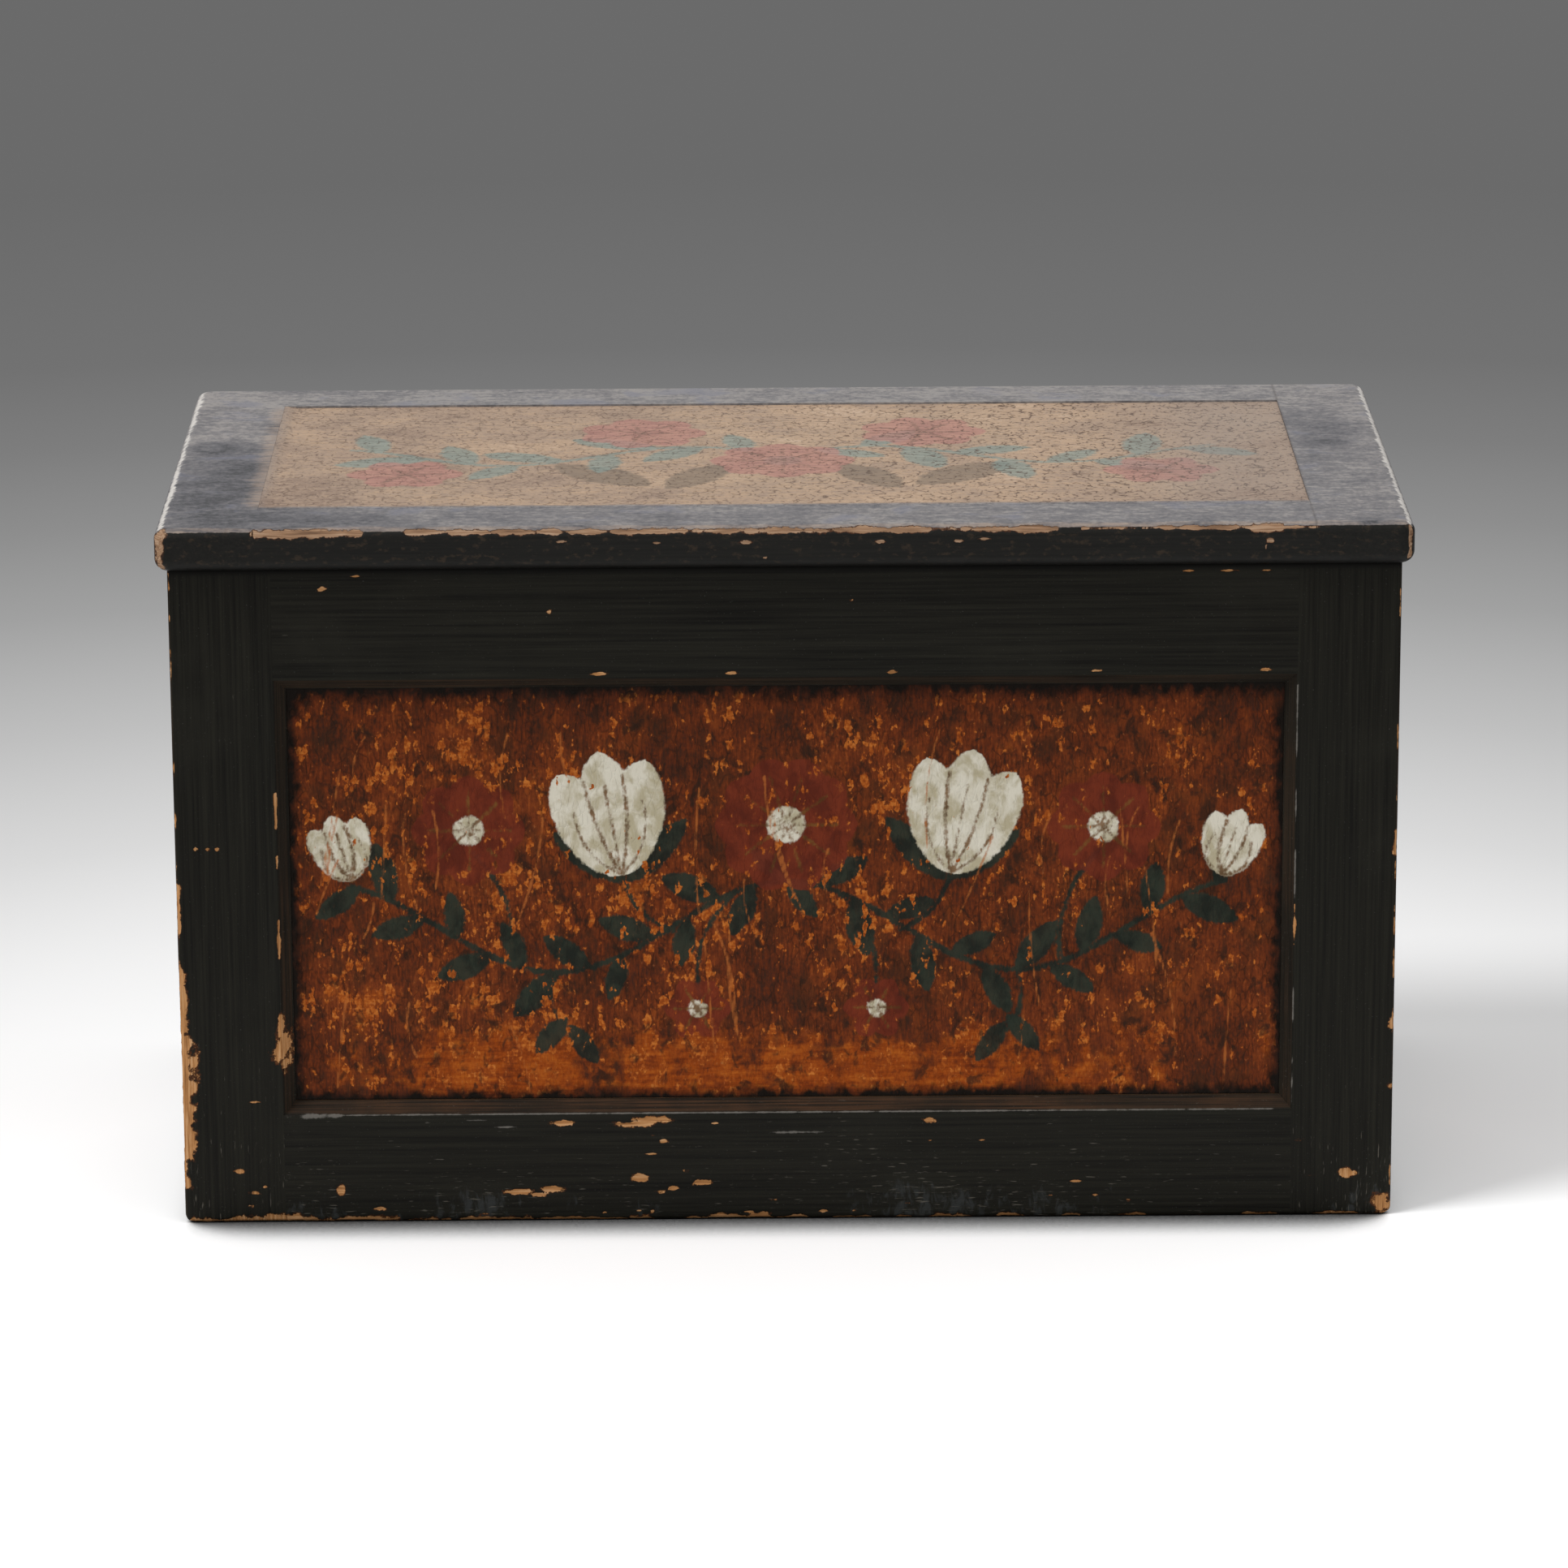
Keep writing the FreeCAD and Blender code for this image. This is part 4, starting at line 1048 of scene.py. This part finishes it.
def dress_panel(name, axis_out, side_out, step, decorated):
    """A wall's varnished panel, dark along its edges and amber near its foot."""
    node = f"{name}_panel"
    run = 1 - axis_out
    low, high = corners(node)
    points, faces, sides = sheet_board(low, high, axis_out, side_out, step)
    inner = (sides == (axis_out, -side_out)).all(axis=1)
    varnish = FRONT_VARNISH if decorated else PLAIN_VARNISH
    piece = new_piece("finished_" + node, points, faces, (varnish, WOOD), inner)
    write_board(piece, points, run)
    centre = (low + high) / 2
    half = (high[run] - low[run]) / 2 - (OPENING_LOW[0] - corners("front_panel")[0][0])
    beside = points[:, run] - centre[run]
    across = half - np.abs(beside)
    below_top = OPENING_HIGH[1] - points[:, 2]
    above_foot = points[:, 2] - OPENING_LOW[1]
    shade = np.maximum.reduce((
        1 - below_top / TOP_SHADE, 1 - above_foot / SIDE_SHADE, 1 - across / SIDE_SHADE))
    low_band = smooth(above_foot, *LOWER_BAND)
    high_band = smooth(below_top, UPPER_BAND, 0)
    to_right = smooth(beside, 0, half * 0.7)
    far_right = smooth(beside, half * 0.35, half * 0.65)
    inward = smooth(across, 0, 0.35 * half)
    write_values(
        piece, light=0.09 - 0.03 * high_band,
        amber=low_band * (0.35 + 0.5 * inward) * (1 - 0.55 * far_right),
        flaky=0.1 - 0.06 * low_band - 0.08 * high_band - 0.1 * to_right)
    if decorated:
        from_left = points[:, run] - OPENING_LOW[0]
        shade = np.maximum(shade, 1.5 - from_left / SIDE_SHADE - below_top / CORNER_SHADE)
        place = (beside, points[:, 2] - (OPENING_LOW[1] + OPENING_HIGH[1]) / 2)
        write_values(piece, **front_drawing(place), scratch=scratch_distance(place))
    write_values(piece, shade=shade)
    dress(piece, "carcass", node)


for wall_name, wall_axis, wall_side, wall_stiles, board_step, panel_step in WALLS:
    dress_wall(wall_name, wall_axis, wall_side, wall_stiles, board_step)
    dress_panel(wall_name, wall_axis, wall_side, panel_step, wall_name == "front")


# The lid; its blotches and rings are (middle in plan, half length, half depth, strength)

LID_BLOTCHES = (
    ((-293, 14), 26, 28, 0.34), ((-266, -20), 26, 30, 0.16), ((-290, -80), 44, 72, 0.44),
    ((-250, -140), 74, 28, 0.28), ((284, 40), 20, 60, 0.24), ((262, 80), 14, 30, 0.1),
    ((276, -40), 14, 30, 0.14),
)
LID_RINGS = (((-258, 64), 15, 16, 0.3), ((-256, 0), 11, 18, 0.3), ((-300, 20), 10, 14, 0.2))
LID_PAINTED_SHADE = 1.5
SPILL = 16.0
OVERPAINT = 6.5
OVERPAINT_SLOPE = 5.0
SWOLLEN_EDGE = (8.0, 0.5)
SWOLLEN_SHORT = 0.1
BLOOM_AND_SHEEN_DEPTHS = (2.6, 0.6)
END_BLOOM_AND_SHEEN = 3.5
END_STRIP = (9.0, 5.0)
CLEAR_OF_FRONT = (4.0, 10.0)
FRONT_SPILL = (10.0, 3.0)
SEAM_WIDTH = (1.2, 0.2)


def bloom_and_sheen_of(points):
    """How light the lid's grey coat is, bloomed and partly a painted sheen: lighter towards the back,
    darker in a few blotches.
    """
    def reach(at, half_length, half_depth):
        return np.hypot((points[:, 0] - at[0]) / half_length, (points[:, 1] - at[1]) / half_depth)

    bloom = 0.74 + 0.12 * (points[:, 1] - LID_LOW[1]) / (LID_HIGH[1] - LID_LOW[1])
    for *oval, strength in LID_BLOTCHES:
        bloom = bloom - strength * smooth(reach(*oval), 1.4, 0.1)
    for *oval, strength in LID_RINGS:
        bloom = bloom - strength * smooth(np.abs(reach(*oval) - 0.8), 0.4, 0.0)
    return bloom


def lid_field():
    """Lowest and highest corner, in plan, of the lid's field inside its frame."""
    low = np.array((corners("lid_left_stile")[1][0], corners("lid_front_rail")[1][1]))
    high = np.array((corners("lid_right_stile")[0][0], corners("lid_back_rail")[0][1]))
    return low, high


def dress_lid_board(node, along):
    """A member of the lid's frame, grey above and black at its sides."""
    low, high = corners(node)
    field_low, field_high = lid_field()
    field_middle = (field_low[1] + field_high[1]) / 2
    field_half = (field_high[1] - field_low[1]) / 2
    if along == 0:
        low[0], high[0] = field_low[0], field_high[0]

    def is_inner(middles, sides):
        over_inside = (np.abs(middles[:, 0]) < RIGHT - BOARD) & (np.abs(middles[:, 1]) < BACK - BOARD)
        below_panel = middles[:, 2] < corners("lid_panel")[0][2]
        return over_inside & below_panel & (sides != (2, 1)).any(axis=1)

    piece, points, _ = worn_board(node, low, high, along, FRONT_STEP, round_lid, is_inner, LID_GREY)
    x, y, z = points.T
    from_front = y - LID_LOW[1]
    at_end = smooth(LID_HIGH[0] - np.abs(x), *END_STRIP) * smooth(from_front, *CLEAR_OF_FRONT)
    # the grey coat, bloomed and partly a painted sheen, covers the top and reaches further down at the ends
    upward = smooth(LID_HIGH[2] - z - END_BLOOM_AND_SHEEN * at_end, *BLOOM_AND_SHEEN_DEPTHS)
    beside = smooth(np.abs(x - field_low[0]), SPILL, 0)
    beside *= smooth(np.abs(y - field_middle), field_half + 4, field_half - 10)
    write_values(
        piece, bloom=bloom_and_sheen_of(points), upward=upward,
        # painted shade on the lid's lower rounded edge, above the walls
        grime=smooth(z, LID_LOW[2] + PAINTED_SHADE_REACH, LID_LOW[2] + LID_PAINTED_SHADE),
        spill=0.6 * beside + 0.5 * smooth(from_front, *FRONT_SPILL),
        seam=0.5 * upward * smooth(np.abs(x - field_high[0]), *SEAM_WIDTH))
    dress(piece, "lid", node)


def dress_lid_panel():
    """The lid's painted panel, swollen at its left and front edge."""
    node = "lid_panel"
    low, high = corners(node)
    field_low, field_high = lid_field()
    low[:2] = field_low + LID_PANEL_GAP
    high[:2] = field_high - LID_PANEL_GAP
    points, faces, sides = sheet_board(low, high, 2, 1, LID_PAINTED_STEP)
    inner = (sides == (2, -1)).all(axis=1)
    x, y, z = points.T
    from_left, from_front = x - low[0], y - low[1]
    swollen = np.maximum(
        smooth(from_left, *SWOLLEN_EDGE), smooth(from_front, OVERPAINT + OVERPAINT_SLOPE, OVERPAINT))
    on_face = z > (low[2] + high[2]) / 2
    points[on_face, 2] += (swollen * (LID_HIGH[2] - high[2] - SWOLLEN_SHORT))[on_face]
    piece = new_piece("finished_" + node, points, faces, (LID_BEIGE, WOOD), inner)
    write_board(piece, points, 0)
    to_right = smooth(x, 90, 240)
    edge_line = 0.6 * smooth(np.abs(from_front - OVERPAINT - 0.8), 1.6, 0.3) * smooth(x, -40, 60)
    write_values(
        piece, **lid_drawing((x, y - (low[1] + high[1]) / 2)),
        shade=np.maximum(0.7 - from_left / 20, 0.66 * to_right), bloom=bloom_and_sheen_of(points),
        overpaint=OVERPAINT - from_front, edge_line=edge_line,
        light=0.51 + 0.1 * x / high[0] - 0.12 * to_right, crackle=0.5 + 0.4 * smooth(x, -120, 160))
    dress(piece, "lid", node)


for lid_node, lid_along in (("lid_left_stile", 1), ("lid_right_stile", 1),
                            ("lid_front_rail", 0), ("lid_back_rail", 0)):
    dress_lid_board(lid_node, lid_along)
dress_lid_panel()


# Solids that show as they are

def refinish(node, material):
    """Gives a solid one of the scene's materials."""
    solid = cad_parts[node]
    solid.data.materials.clear()
    solid.data.materials.append(material)


for part in ("front", "middle", "back"):
    refinish(f"floor_board_{part}", WOOD_ALONG[0])
for part, grain_axis in (("front", 0), ("back", 0), ("left", 1), ("right", 1)):
    refinish(f"floor_cleat_{part}", WOOD_ALONG[grain_axis])
for part in ("floor_nails", "cleat_nails", "hinge_wall_screws", "hinge_lid_screws"):
    refinish(part, STEEL)
for hand in ("left", "right"):
    for part in ("wall_leaf", "lid_leaf", "pin"):
        refinish(f"{hand}_hinge_{part}", HINGE_IRON)


# Stage, in metres: a pale floor that falls off to grey, soft light and the camera

FLOOR_RADIUS = 14.0
FLOOR_CENTRE = (0.0, -0.35, 0.0)
FLOOR_SIDES = 64
FLOOR_GREYS = {
    0.5: 255, 0.74: 232, 0.97: 204, 1.23: 178, 1.53: 149, 1.77: 131, 2.02: 116, 2.3: 105, 3.0: 98,
}
FLOOR_FADE = 4.0
FLOOR_GLOW = 0.17
CONTACT_SHADOW_REACH = 0.055
CONTACT_SHADOW_TILT = math.radians(45)
CONTACT_SHADOW_COLOUR = (18, 18, 18)
KEY_FROM = Vector((-0.52, -0.22, 0.825))
KEY_STRENGTH = 1.58
KEY_ANGLE = math.radians(20)
SKY_STRENGTH = 0.6
CAMERA_PLACE = Vector((-0.0205, -3.6914, 1.2387))
CAMERA_YAW = math.radians(0.3157)
CAMERA_PITCH = math.radians(15.860)
CAMERA_ROLL = math.radians(-0.3059)
CAMERA_LENS = 166.09
CAMERA_SENSOR = 36.0


def make_floor():
    """The floor, lit a little by itself where it is seen, with a painted shadow close to the trunk's front.
    """
    mesh = bpy.data.meshes.new("floor")
    turns = np.arange(FLOOR_SIDES) * 2 * math.pi / FLOOR_SIDES
    mesh.from_pydata(
        [(*toward((0.0, 0.0), turn, FLOOR_RADIUS), 0.0) for turn in turns], [], [list(range(FLOOR_SIDES))])
    finish = Finish("floor")
    away = finish.node("VectorMath", {0: finish.place(), 1: FLOOR_CENTRE}, operation="DISTANCE")["Value"]
    stops = [(distance / FLOOR_FADE, (grey, grey, grey)) for distance, grey in FLOOR_GREYS.items()]
    colour = finish.ramp(finish.math("DIVIDE", away, FLOOR_FADE), *stops)
    # a painted contact shadow in front of the trunk, from occlusion looked for towards the back
    facing = finish.node("CombineXYZ", {"Y": math.sin(CONTACT_SHADOW_TILT), "Z": math.cos(CONTACT_SHADOW_TILT)})
    contact_shadow = finish.node("AmbientOcclusion", {"Distance": CONTACT_SHADOW_REACH, "Normal": facing["Vector"]})
    colour = finish.mix(finish.band(contact_shadow["AO"], 0.24, 0.68), CONTACT_SHADOW_COLOUR, colour)
    rays = finish.node("LightPath")
    seen = finish.math("ADD", rays["Is Camera Ray"], rays["Is Glossy Ray"])
    seen = finish.math("MINIMUM", finish.math("ADD", seen, rays["Is Transmission Ray"]), 1.0)
    mesh.materials.append(finish.surface(
        Base_Color=colour, Roughness=0.9, Emission_Color=colour,
        Emission_Strength=finish.times(seen, FLOOR_GLOW), Specular_IOR_Level=0.0))
    floor = add_object("floor", mesh)


def make_light():
    key = bpy.data.lights.new("key", "SUN")
    key.energy = KEY_STRENGTH
    key.angle = KEY_ANGLE
    lamp = add_object("key", key)
    lamp.rotation_mode = "QUATERNION"
    lamp.rotation_quaternion = KEY_FROM.to_track_quat("Z", "Y")
    world = bpy.data.worlds.new("sky")
    world.use_nodes = True
    sky = world.node_tree.nodes["Background"]
    sky.inputs["Color"].default_value = (1.0, 1.0, 1.0, 1.0)
    sky.inputs["Strength"].default_value = SKY_STRENGTH
    bpy.context.scene.world = world


def make_camera():
    data = bpy.data.cameras.new("camera")
    data.lens = CAMERA_LENS
    data.sensor_width = CAMERA_SENSOR
    pose = Matrix.Translation(CAMERA_PLACE)
    for angle, axis in ((-CAMERA_YAW, "Z"), (UP - CAMERA_PITCH, "X"), (CAMERA_ROLL, "Z")):
        pose = pose @ Matrix.Rotation(angle, 4, axis)
    camera = add_object("camera", data)
    camera.matrix_world = pose
    bpy.context.scene.camera = camera


make_floor()
make_light()
make_camera()
bpy.context.scene.view_settings.view_transform = "Standard"
